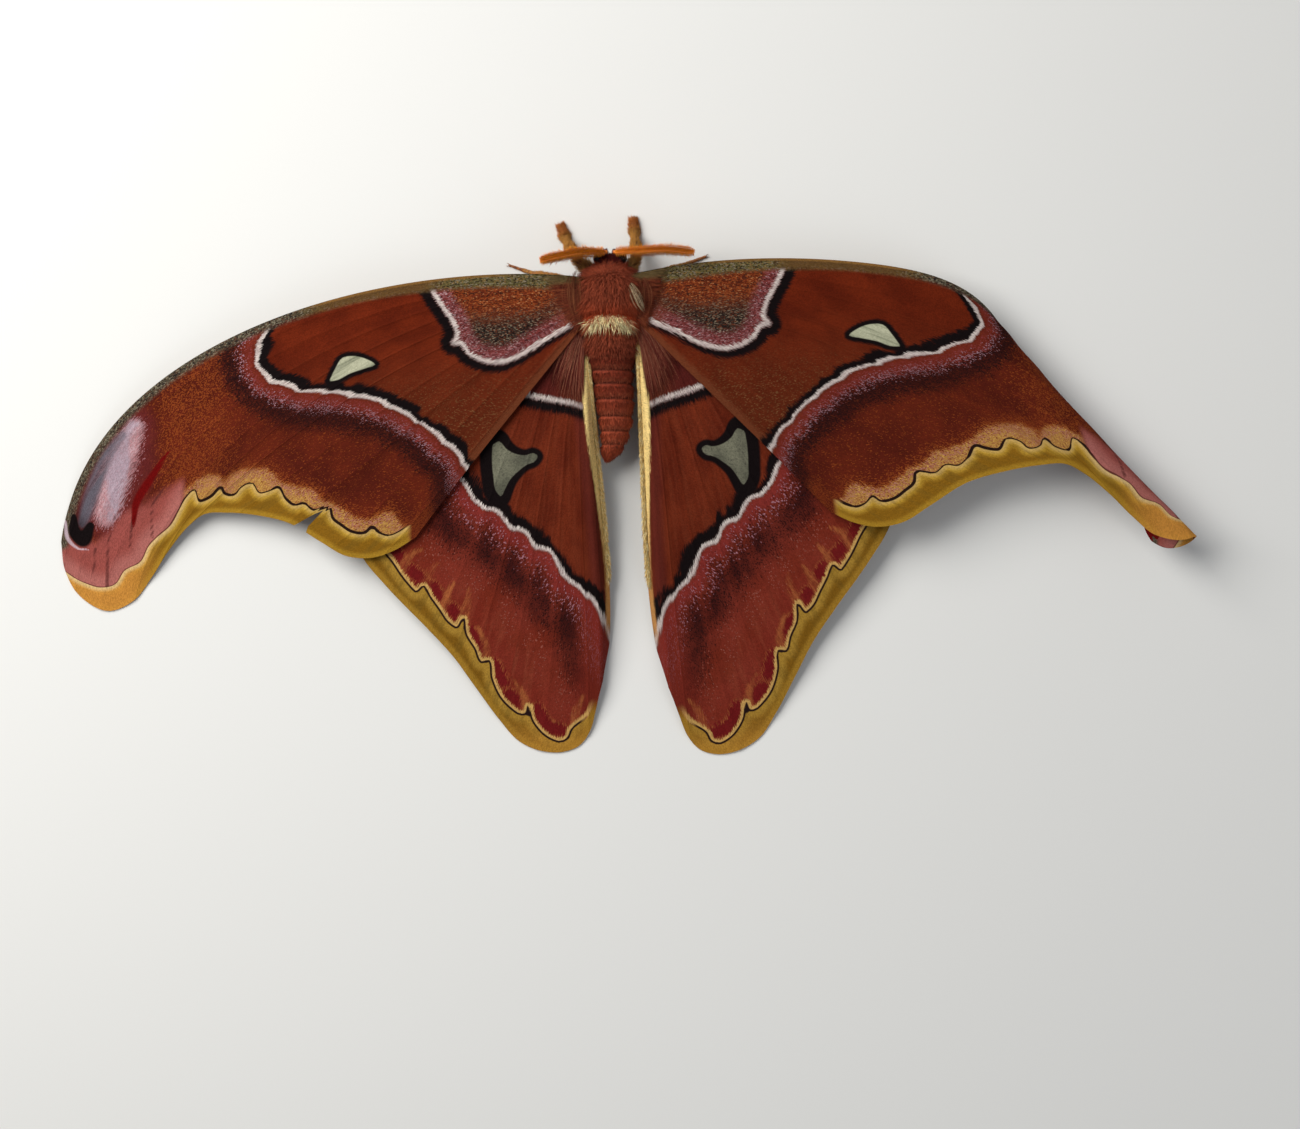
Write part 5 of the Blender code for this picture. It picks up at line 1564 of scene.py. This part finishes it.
def clear_of_eyes(y, angle):
    """True at places on the head that lie outside both eyes."""
    place = body_surface(y, angle) - THORAX_ORIGIN - HEAD_AT
    gaps = [np.linalg.norm(place - EYE_AT * (side, 1, 1), axis=1) for side in (LEFT, RIGHT)]
    return np.minimum(*gaps) > EYE_RADIUS * 1.02


grow_fur("thorax_fur", 11, 12200, (-6.2, 6.6), (2.2, 4.0), (0.22, 0.58), 0.085, spread=0.3)
grow_fur(
    "hood_fur", 16, 3800, (4.6, 6.9), (1.5, 2.8), (0.5, 0.95), 0.08, outward=0.9, back=-0.3,
    angle_range=(-1.6, 1.6),
)
for side in (LEFT, RIGHT):
    grow_fur(
        "shoulder_fur_" + SIDE_NAMES[side], 17 + side, 2600, (-4.6, 6.6), (2.8, 4.8), (0.2, 0.5), 0.08,
        spread=0.35, outward=1.7, angle_range=sorted((side * 0.6, side * 1.2)),
    )
grow_fur(
    "collar_fur", 12, 3400, (-5.2, -3.5), (0.7, 1.25), (0.6, 1.15), 0.08, spread=0.5, outward=0.1,
    angle_range=(-0.85, 0.85),
)
grow_fur("waist_fur", 13, 4600, (-12.0, -6.0), (1.5, 2.9), (0.35, 0.85), 0.09, outward=0.3)
grow_fur("abdomen_fur", 14, 12000, (-33.8, -10.5), (0.8, 1.4), (0.16, 0.55), 0.08, outward=0.1)
grow_fur("head_fur", 15, 4200, (6.2, 9.55), (0.8, 1.5), (0.35, 0.9), 0.07, outward=0.5, keep=clear_of_eyes)
grow_fur(
    "face_fur", 18, 1500, (8.6, 9.66), (0.6, 1.1), (0.4, 0.9), 0.06, outward=0.5, back=-0.4,
    keep=clear_of_eyes,
)

# %% [markdown]
# ## Long hairs over the wing bases
#
# From the sides of the thorax long hairs stream back over the hindwings, and a shorter
# rust-coloured pelt covers the root of each forewing, so the joints can't be seen. Each of
# these hairs follows the wing's own surface along a vein, a little above it, which keeps it
# from cutting through. The rolled inner edge of the hindwing is thick with short cream
# hairs of the same kind.

# %% Hairs that lie along a wing
PELT_COLOURS = srgb(124, 58, 36), srgb(108, 44, 28), srgb(138, 72, 44), srgb(92, 36, 24)
DARK_PELT_COLOURS = srgb(88, 32, 26), srgb(102, 44, 34), srgb(76, 26, 22)
STREAMING_COLOURS = srgb(150, 80, 60), srgb(122, 52, 42), srgb(176, 112, 86), srgb(96, 36, 32)
CREAM_COLOURS = srgb(240, 208, 138), srgb(228, 192, 118), srgb(246, 228, 172), srgb(196, 158, 94)


def drawn_tints(rng, colours, count):
    """One of several colours for each hair, drawn at random."""
    return np.array([c[:3] for c in colours])[rng.integers(0, len(colours), count)]


def wing_hairs(
    name, surface, side, seed, count, u_range, v_range, length_share, height, half_width, colours,
    wander=0.03, past_edge=None, front=None, points=4, thinning=1.0,
):
    """Hairs whose path is the wing's surface from u to u + share, at nearly one v, raised by height.

    With past_edge they are pushed out past the inner margin and a little down to the abdomen.
    """
    rng = np.random.default_rng(seed)
    u0 = u_range[0] + (u_range[1] - u_range[0]) * rng.random(count) ** thinning
    v0 = rng.uniform(*v_range, count)
    share = rng.uniform(*length_share, count)
    drift = wander * rng.standard_normal(count)
    s = np.linspace(0, 1, points)[None]
    u = np.clip(u0[:, None] + share[:, None] * s, 0, 1)
    v = np.clip(v0[:, None] + drift[:, None] * s**1.5, 0, 1)
    paths = surface(u, v, side)
    step = 0.004
    du = surface(np.clip(u + step, 0, 1), v, side) - surface(np.clip(u - step, 0, 1), v, side)
    dv = surface(u, np.clip(v + step, 0, 1), side) - surface(u, np.clip(v - step, 0, 1), side)
    normal = np.cross(du, dv)
    normal = unit(normal * np.sign(normal[..., 2:]))
    raised = rng.uniform(*height, (count, 1)) * np.sin(math.pi * np.clip(s * 0.85 + 0.1, 0, 1))
    if past_edge is not None:
        past = rng.uniform(*past_edge, (count, 1)) * s
        paths = paths + np.stack([-side * past, 0 * past, -0.35 * past], axis=-1)
    paths = paths + normal * (MEMBRANE_HALF + raised)[..., None]
    tint = drawn_tints(rng, colours, count)
    if front is not None:
        tint = mix_colours(tint, front, smoothstep(v0, 0.2, 0.1))
    tint = tint * rng.uniform(0.75, 1.2, (count, 1))
    uv = np.stack([0.05 + 0.9 * v0, 0.05 + 0.9 * u0], axis=1)
    widths = half_width * rng.uniform(0.7, 1.3, count)
    return make_tufts(name, paths, widths, normal[:, 2], tint, uv, FUR_MATERIAL)


for side in (LEFT, RIGHT):
    word = SIDE_NAMES[side]
    wing_hairs(
        "forewing_pelt_" + word, forewing_surface, side, 21 + side, 2400, (0.0, 0.035), (0.03, 0.95),
        (0.02, 0.05), (0.1, 0.5), 0.05, PELT_COLOURS, front=srgb(112, 92, 58),
    )
    wing_hairs(
        "hindwing_pelt_" + word, hindwing_surface, side, 31 + side, 1500, (0.03, 0.14), (0.25, 0.86),
        (0.06, 0.15), (0.15, 0.6), 0.05, DARK_PELT_COLOURS, wander=0.02,
    )
    wing_hairs(
        "streaming_hair_" + word, hindwing_surface, side, 41 + side, 560, (0.015, 0.05), (0.4, 0.86),
        (0.08, 0.26), (0.3, 1.2), 0.026, STREAMING_COLOURS, wander=0.04, points=5,
    )
    wing_hairs(
        "inner_edge_" + word, hindwing_surface, side, 51 + side, 5200, (0.055, 0.78), (0.966, 1.0),
        (0.012, 0.024), (0.05, 0.25), 0.07, CREAM_COLOURS, wander=0.006, past_edge=(-0.2, 0.75), thinning=1.4,
    )

# %% [markdown]
# ## Shoulder tufts
#
# At each shoulder a scale-like flap, the tegula, carries a lock of longer hairs. In this
# moth the right one has slipped and shows blond-grey hairs, while the left lies smooth
# and orange-brown. Each lock is a bundle of hairs round one guide curve, wider in its
# middle than at its ends.

# %% Locks at the shoulders


def make_lock(name, seed, count, guide, width, half_width, colours, root_uv):
    """Hairs that follow a guide curve through the coat, each with its own place in the bundle."""
    rng = np.random.default_rng(seed)
    start = rng.uniform(0.0, 0.45, (count, 1))
    share = rng.uniform(0.4, 0.62, (count, 1))
    s = np.linspace(0, 1, 5)[None]
    t = np.clip(start + share * s, 0, 1)
    path = spline(np.array(guide, float), t)
    beside = rng.standard_normal((count, 1)) * width * np.sin(math.pi * (0.15 + 0.7 * t))
    heading = np.array(guide[-1], float) - np.array(guide[0], float)
    across = np.cross(unit(heading), UP)
    height = rng.uniform(0.0, 0.5, (count, 1)) * np.sin(math.pi * t)
    path = path + beside[..., None] * across + height[..., None] * UP
    tint = drawn_tints(rng, colours, count) * rng.uniform(0.8, 1.15, (count, 1))
    uv = np.array(root_uv)[None] + rng.uniform(-0.02, 0.02, (count, 2))
    widths = half_width * rng.uniform(0.7, 1.3, count)
    return make_tufts(name, path + THORAX_ORIGIN, widths, np.tile(UP, (count, 1)), tint, uv, FUR_MATERIAL)


make_lock(
    "shoulder_lock_right", 61, 110,
    [(4.4, 3.0, 14.8), (5.4, 1.2, 15.4), (6.4, -0.9, 15.1), (7.7, -3.2, 14.0)],
    0.4, 0.045, (srgb(190, 166, 130), srgb(150, 118, 90), srgb(92, 56, 42), srgb(214, 194, 156)), (0.62, 0.7),
)
make_lock(
    "shoulder_lock_left", 62, 90,
    [(-6.6, 6.0, 12.8), (-7.3, 3.0, 13.6), (-7.2, -1.0, 13.8), (-6.4, -5.4, 13.0)],
    1.1, 0.035, (srgb(124, 66, 42), srgb(106, 46, 30), srgb(144, 86, 54)), (0.38, 0.6),
)
make_lock(
    "shoulder_lock_low_right", 63, 60,
    [(6.8, 4.6, 13.2), (7.6, 2.0, 13.6), (7.6, -1.5, 13.6), (6.8, -5.2, 12.8)],
    1.1, 0.035, (srgb(124, 62, 40), srgb(106, 46, 30), srgb(144, 84, 54)), (0.66, 0.6),
)

# %% [markdown]
# ## Eyes
#
# An insect's eye is a dome of many small lenses. Here it is a smooth finely divided egg,
# nearly black, with the lenses as a bump of rounded cells and a clear coat for the gloss.
# It sits in the side of the head as deep as a real one, with the short fur round its rim.

# %% Eyes


def make_eye_material():
    """Dark brown glass with a honeycomb of lenses."""
    material, paint, shader = new_material("eye_lenses", specular=0.22)
    where = paint.node("TexCoord").outputs["Object"]
    cells = paint.node("TexVoronoi", {"Vector": where, "Scale": 7000.0, "Randomness": 0.25})
    lens = paint.ramp(cells.outputs["Distance"], 0.0, 0.7, 1.0, 0.0)
    paint.feed(shader.inputs["Base Color"], paint.blend(lens, srgb(16, 9, 8), srgb(44, 24, 18)))
    paint.relief(shader, lens, 0.5, 0.06)
    for socket, value in (("Roughness", 0.4), ("Coat Weight", 0.12), ("Coat Roughness", 0.1)):
        shader.inputs[socket].default_value = value
    return material


def make_eye(side, material):
    """An egg of rings about the head's long axis."""
    t = np.sin(np.linspace(-math.pi / 2, math.pi / 2, 34))[1:-1]
    angle = np.linspace(0, 2 * math.pi, 44, endpoint=False)
    bulge = np.sqrt(1 - t**2)[:, None]
    centre = HEAD_AT + EYE_AT * (side, 1, 1) + THORAX_ORIGIN
    egg = [EYE_SQUASH * bulge * np.cos(angle), t[:, None] + 0 * angle, bulge * np.sin(angle)]
    rings = centre + EYE_RADIUS * np.stack(egg, axis=-1)
    ends = [centre + (0, s * EYE_RADIUS, 0) for s in (-1, 1)]
    points, faces = closed_tube(rings, *ends)
    node = "eye_" + SIDE_NAMES[side]
    eye = make_piece(node + "_dome", points, faces, (material,))
    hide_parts(node)


EYE_MATERIAL = make_eye_material()
for side in (LEFT, RIGHT):
    make_eye(side, EYE_MATERIAL)
print("eye width, mm:", round(2 * EYE_SQUASH * EYE_RADIUS, 2))

# %% [markdown]
# ## Tubes along curves
#
# Palps, feelers and legs are round stalks. A comb has hundreds of thin branches, so one
# function carries circles along a whole array of curves in one go, and a second one puts
# several sets of tubes together as one piece.

# %% Many tubes at once


def tubes(paths, radii, sides):
    """Points and faces of many closed tubes at once. paths is tubes x points x 3.

    Each ring is a circle round the path, in the plane across it, and both ends close to a point.
    """
    count, steps = paths.shape[:2]
    along = unit(np.gradient(paths, axis=1))
    helper = np.where(np.abs(along[..., 2:]) > 0.8, (1.0, 0.0, 0.0), UP)
    side = unit(np.cross(along, helper))
    up = np.cross(along, side)
    angle = np.linspace(0, 2 * math.pi, sides, endpoint=False)
    ring = np.cos(angle)[:, None] * side[:, :, None] + np.sin(angle)[:, None] * up[:, :, None]
    rings = paths[:, :, None] + radii[:, :, None, None] * ring
    first = paths[:, :1] - 0.4 * radii[:, :1, None] * along[:, :1]
    last = paths[:, -1:] + 0.6 * radii[:, -1:, None] * along[:, -1:]
    points = np.concatenate([rings.reshape(count, -1, 3), first, last], axis=1)
    quads, fans = tube_faces(steps, sides)
    offset = (np.arange(count) * points.shape[1])[:, None, None]
    quads = (quads[None] + offset).reshape(-1, 4)
    fans = (fans[None] + offset).reshape(-1, 3)
    flat = points.reshape(-1, 3)
    if facing_out(flat, quads) is not quads:
        quads, fans = quads[:, ::-1], fans[:, ::-1]
    return flat, [quads, fans]


def joined(*parts):
    """Several sets of points and faces as one, with the later corner numbers moved on."""
    points = np.concatenate([p for p, _ in parts])
    starts = np.cumsum([0] + [len(p) for p, _ in parts])[:-1]
    return points, [face + start for (_, faces), start in zip(parts, starts) for face in faces]


# %% [markdown]
# ## Palps
#
# Below the face hang two short woolly palps, all that is left of the mouth of a moth that
# never feeds. Each is a small cone of skin under hairs that point forward and down.

# %% Palps
PALP_FROM, PALP_TO, PALP_RADIUS = np.array([0.75, 1.4, -1.7]), np.array([0.85, 3.3, -2.0]), 0.5


def make_palp(side):
    """A short tapering tube with rounded ends, and its hairs."""
    turned = np.array([side, 1, 1])
    start, end = (HEAD_AT + turned * at + THORAX_ORIGIN for at in (PALP_FROM, PALP_TO))
    s = np.linspace(0, 1, 14)
    radii = PALP_RADIUS * np.sqrt(1 - (2 * s - 1) ** 4 + 0.02) * (1 - 0.3 * s)
    points, faces = tubes((start + s[:, None] * (end - start))[None], radii[None], 16)
    word = SIDE_NAMES[side]
    palp = make_piece("palp_" + word, points, faces, (SKIN_MATERIAL,))
    dark = linear_rgb(84, 30, 24)
    store(palp, tint=np.tile(dark, (len(points), 1)))

    rng = np.random.default_rng(90 + side)
    count = 420
    at = rng.random(count)
    turn = rng.uniform(0, 2 * math.pi, count)
    along = unit(end - start)
    across = np.cross(along, UP)
    over = np.cross(across, along)
    normal = np.cos(turn)[:, None] * across + np.sin(turn)[:, None] * over
    root = start + at[:, None] * (end - start) + np.interp(at, s, radii)[:, None] * normal
    lengths, lift = rng.uniform(0.5, 1.0, count), rng.uniform(0.3, 0.7, count)
    paths = combed_paths(root, normal, along + 0 * normal, lengths, lift)
    tint = dark * rng.uniform(0.8, 1.6, (count, 1))
    uv = np.stack([0.1 + 0.1 * turn, 0.1 + 0.5 * at], axis=1)
    make_tufts("palp_hair_" + word, paths, np.full(count, 0.06), normal, tint, uv, FUR_MATERIAL)


for side in (LEFT, RIGHT):
    make_palp(side)

# %% [markdown]
# ## Feelers
#
# A male's feelers are combs on both sides of a jointed shaft, two pairs of thin branches
# on each joint, and every branch has a fringe of fine hairs with which it smells. They are
# held on edge here, so from above each looks like a narrow orange ribbon. The shaft and
# the branches are tubes carried along curves, and the fringe is tufts too short to count.

# %% Feelers
ANTENNA_SHAFT = 0.5
RAMUS_LENGTH = 4.3
ANTENNA_JOINTS = 44
COMB_ENDS = 0.98
FRINGE_HAIRS = 22
COMB_HALF_WIDTH = 0.8
RAMUS_SWEEP = 0.32
ANTENNA_PATHS = {
    LEFT: [(-0.5, 10.0, 9.9), (-5.3, 9.8, 12.4), (-10.1, 8.9, 13.6), (-13.9, 8.0, 14.2)],
    RIGHT: [(0.95, 10.0, 9.9), (6.4, 10.1, 12.2), (11.8, 10.2, 13.4), (17.5, 9.7, 14.0)],
}


def make_horn_material(name, light, dark, scale):
    """Matt horn, mottled from light to dark at the given scale, with a fine grain."""
    material, paint, shader = new_material(name)
    where = paint.node("TexCoord").outputs["Object"]
    noise = paint.node("TexNoise", {"Vector": where, "Scale": scale, "Detail": 4.0}).outputs["Fac"]
    paint.feed(shader.inputs["Base Color"], paint.blend(paint.ramp(noise, 0.35, 0.65), dark, light))
    paint.feed(shader.inputs["Roughness"], paint.ramp(noise, 0.3, 0.7, 0.45, 0.65))
    paint.relief(shader, noise, 0.4, 0.08)
    return material


def make_antenna(side, material):
    """The shaft with its swollen joints, the comb's branches and their fringe."""
    guide = ANTENNA_PATHS[side]
    t = np.linspace(0, 1, 8 * ANTENNA_JOINTS)
    shaft_path = spline(guide, t)
    swell = 1 + 0.1 * np.cos(2 * math.pi * ANTENNA_JOINTS * t)
    shaft_radii = 0.62 * ANTENNA_SHAFT * (1 - 0.55 * t) * swell + 0.05
    shaft = tubes(shaft_path[None], shaft_radii[None], 14)

    joint = np.repeat(np.arange(ANTENNA_JOINTS), 4)
    up = np.tile([1.0, 1.0, -1.0, -1.0], ANTENNA_JOINTS)
    pair = np.tile([1.0, -1.0, 1.0, -1.0], ANTENNA_JOINTS)
    at = COMB_ENDS * (joint + 0.25 + 0.18 * pair) / ANTENNA_JOINTS
    root = spline(guide, at)
    along = unit(spline(guide, np.clip(at + 0.02, 0, 1)) - spline(guide, np.clip(at - 0.02, 0, 1)))
    length = RAMUS_LENGTH * (0.32 + 0.68 * np.sin(math.pi * (0.04 + 0.86 * at)))
    rounded = np.sqrt(1 - 0.96 * np.clip((at - 0.84) / 0.14, 0, 1) ** 2)
    out = np.stack([0 * up, COMB_HALF_WIDTH * pair * rounded, up * length], axis=1)
    out = unit(out + RAMUS_SWEEP * length[:, None] * along)
    s = np.linspace(0, 1, 7)[None, :, None]
    bend = 0.14 * np.sin(math.pi * s) * along[:, None] + 0.10 * (s**2) * along[:, None]
    rami_path = root[:, None] + length[:, None, None] * (s * out[:, None] + bend)
    rami_radii = np.linspace(0.17, 0.08, 7)[None] * np.ones((len(at), 1))
    rami = tubes(rami_path, rami_radii, 5)

    points, faces = joined(shaft, rami)
    node = "antenna_" + SIDE_NAMES[side]
    piece = make_piece(node + "_comb", points + THORAX_ORIGIN, faces, (material,))
    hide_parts(node)

    rng = np.random.default_rng(70 + side)
    which = np.repeat(np.arange(len(at)), FRINGE_HAIRS)
    count = len(which)
    place = rng.random(count) ** 0.7
    start = root[which] + length[which, None] * place[:, None] * out[which]
    start += 0.14 * np.sin(math.pi * place)[:, None] * along[which] * length[which, None]
    inward = np.where(rng.random(count) < 0.75, -1, 1) * pair[which]
    sideways = (inward * rounded[which])[:, None] * np.array([0.0, 1.0, 0.0])
    reach = rng.uniform(0.35, 0.8, (count, 1)) * (sideways + 0.5 * along[which] + 0.3 * out[which])
    paths = start[:, None] + np.linspace(0, 1, 3)[None, :, None] * reach[:, None] + THORAX_ORIGIN
    tint = linear_rgb(238, 148, 48) * rng.uniform(0.85, 1.15, (count, 1))
    uv = np.stack([0.1 + 0.8 * at[which], 0.1 + 0.8 * place], axis=1)
    widths = np.full(count, 0.05)
    make_tufts(node + "_fringe", paths, widths, out[which], tint, uv, FUR_MATERIAL)


FEELER_MATERIAL = make_horn_material("feeler_horn", srgb(236, 142, 46), srgb(206, 108, 28), 900.0)
for side in (LEFT, RIGHT):
    make_antenna(side, FEELER_MATERIAL)

# %% [markdown]
# ## Legs
#
# The legs are short and woolly. Each is a femur, a tibia and a tarsus of five small
# joints that ends in two claws and lies flat on the floor. A tube carried through the
# CAD's joints is the horn of the leg, and its coat is tufts that point towards the foot,
# long on the femur, short as velvet on the tarsus.

# %% Legs
LOW = 0.3
COAT_OFF_FLOOR = 0.05
LEG_JOINTS = {
    ("foreleg", LEFT): [
        (-2.4, 5, 6.2), (-7.2, 9, 6.4), (-8.8, 12.4, 1.8), (-9.4, 13.8, LOW), (-10.5, 16.6, LOW),
    ],
    ("foreleg", RIGHT): [(3.4, 5, 6), (5.8, 9.2, 6), (5.5, 13.2, 1.8), (5.3, 15, LOW), (5, 18, LOW)],
    ("midleg", LEFT): [(-3.6, 2.6, 5.6), (-11, 5.2, 7), (-16.2, 6.2, 2), (-18.2, 6.9, LOW), (-21.4, 8, LOW)],
    ("midleg", RIGHT): [(3.8, 2.6, 5.6), (10.4, 6, 7), (15.2, 7.8, 2), (17.2, 8.6, LOW), (20.6, 9.9, LOW)],
    ("hindleg", LEFT): [
        (-3.6, -1.6, 5.4), (-9.6, -7, 5.8), (-12.6, -13.4, 1.8), (-13.4, -15.6, LOW), (-14.6, -19.4, LOW),
    ],
    ("hindleg", RIGHT): [
        (3.8, -1.6, 5.4), (10, -6.4, 5.8), (13.6, -12.4, 1.8), (14.6, -14.4, LOW), (16.4, -18, LOW),
    ],
}
# Along the leg, from 0 at its root to 4 at its claws: the radius of the horn and of the coat round it
LEG_STATIONS = np.array([0.0, 0.45, 0.95, 1.1, 1.5, 1.95, 2.1, 2.9, 3.1, 4.0])
LEG_HORN = np.array([0.5, 0.62, 0.44, 0.42, 0.52, 0.4, 0.34, 0.36, 0.3, 0.24])
LEG_COAT = np.array([1.1, 1.15, 0.8, 0.8, 1.0, 0.7, 0.6, 0.6, 0.5, 0.4])
# For each kind of leg: how full its coat is, how far that stands out, the muff on its foot, its tufts
LEG_KINDS = {
    "foreleg": (1.55, 1.5, 0.75, 3200), "midleg": (1.0, 1.0, 0.0, 1600), "hindleg": (1.0, 1.0, 0.0, 1600),
}


def leg_point(joints, t):
    """A point along the leg's joints, t from 0 to 4, with the bends rounded a little."""
    joints = np.asarray(joints, float)
    knots = np.arange(5.0)
    total = 0
    for shift in (-0.08, 0.0, 0.08):
        at = np.clip(t + shift, 0, 4)
        total = total + np.stack([np.interp(at, knots, joints[:, axis]) for axis in range(3)], axis=-1)
    return total / 3


def leg_coat(kind, t):
    """Depth of the coat round the leg at t. The foreleg's is a muff that stays full to the claws."""
    fullness, _, muff, _ = LEG_KINDS[kind]
    return np.interp(t, LEG_STATIONS, LEG_COAT) * fullness * (1 + muff * smoothstep(t, 2.0, 3.2))


def leg_horn(kind, t):
    """Radius of the horn at t, thicker where the coat is fuller."""
    muff = LEG_KINDS[kind][2]
    return np.maximum(np.interp(t, LEG_STATIONS, LEG_HORN), (0.35 + 0.3 * muff) * leg_coat(kind, t))


def make_leg(kind, side, horn):
    """The horn of one leg with its claws, and the coat round it."""
    joints = LEG_JOINTS[kind, side]
    node = f"{kind}_{SIDE_NAMES[side]}"
    t = np.linspace(0, 4, 90)
    swell = 0.12 * np.cos(2 * math.pi * 2.5 * (t - 2.0)) * smoothstep(t, 1.9, 2.1)
    radii = leg_horn(kind, t) * (1 + swell)
    limb = tubes(leg_point(joints, t)[None], radii[None], 14)
    foot = leg_point(joints, np.array([3.9, 4.0]))
    ahead = unit(foot[1] - foot[0])
    beside = np.cross(ahead, UP)
    s = np.linspace(0, 1, 8)[None, :, None]
    claw_side = np.array([-1.0, 1.0])[:, None, None]
    claws = foot[1] + 0.75 * s * ahead + claw_side * 0.3 * np.sin(2.2 * s) * beside - 0.12 * s**2 * UP
    claws = tubes(claws, np.linspace(0.11, 0.02, 8)[None] * np.ones((2, 1)), 7)
    points, faces = joined(limb, claws)
    points[:, 2] = np.maximum(points[:, 2], 0.0)
    piece = make_piece(node + "_horn", points + THORAX_ORIGIN, faces, (horn,))
    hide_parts(node)

    rng = np.random.default_rng(80 + 7 * side + len(kind) + int(10 * abs(joints[0][1])))
    _, stands_out, _, count = LEG_KINDS[kind]
    at = 0.2 + 3.7 * rng.random(count) ** 1.15
    centre = leg_point(joints, at)
    along = unit(leg_point(joints, np.minimum(at + 0.04, 4)) - leg_point(joints, at - 0.04))
    across = unit(np.cross(along, UP + 0 * along))
    over = np.cross(across, along)
    turn = rng.uniform(0, 2 * math.pi, count)
    normal = np.cos(turn)[:, None] * across + np.sin(turn)[:, None] * over
    root = centre + 0.9 * leg_horn(kind, at)[:, None] * normal
    lift = stands_out * rng.uniform(0.35, 0.8, count)
    lengths = 0.8 * leg_coat(kind, at) * rng.uniform(1.1, 1.7, count)
    paths = combed_paths(root, normal, along, lengths, lift) + THORAX_ORIGIN
    paths[..., 2] = np.maximum(paths[..., 2], COAT_OFF_FLOOR)
    tint = np.tile(linear_rgb(174, 122, 58), (count, 1))
    tint = mix_colours(tint, srgb(176, 142, 92), 0.6 * smoothstep(at, 1.0, 0.3))
    tint = mix_colours(tint, srgb(162, 88, 46), 0.7 * smoothstep(at, 2.6, 3.4))
    tint = tint * rng.uniform(0.7, 1.2, (count, 1))
    uv = np.stack([0.1 + 0.8 * turn / (2 * math.pi), 0.1 + 0.2 * at], axis=1)
    widths = 0.08 * rng.uniform(0.7, 1.3, count)
    make_tufts(node + "_coat", paths, widths, normal, tint, uv, FUR_MATERIAL)


LEG_HORN_MATERIAL = make_horn_material("leg_horn", srgb(150, 92, 44), srgb(96, 52, 28), 1200.0)
for kind in LEG_KINDS:
    for side in (LEFT, RIGHT):
        make_leg(kind, side, LEG_HORN_MATERIAL)
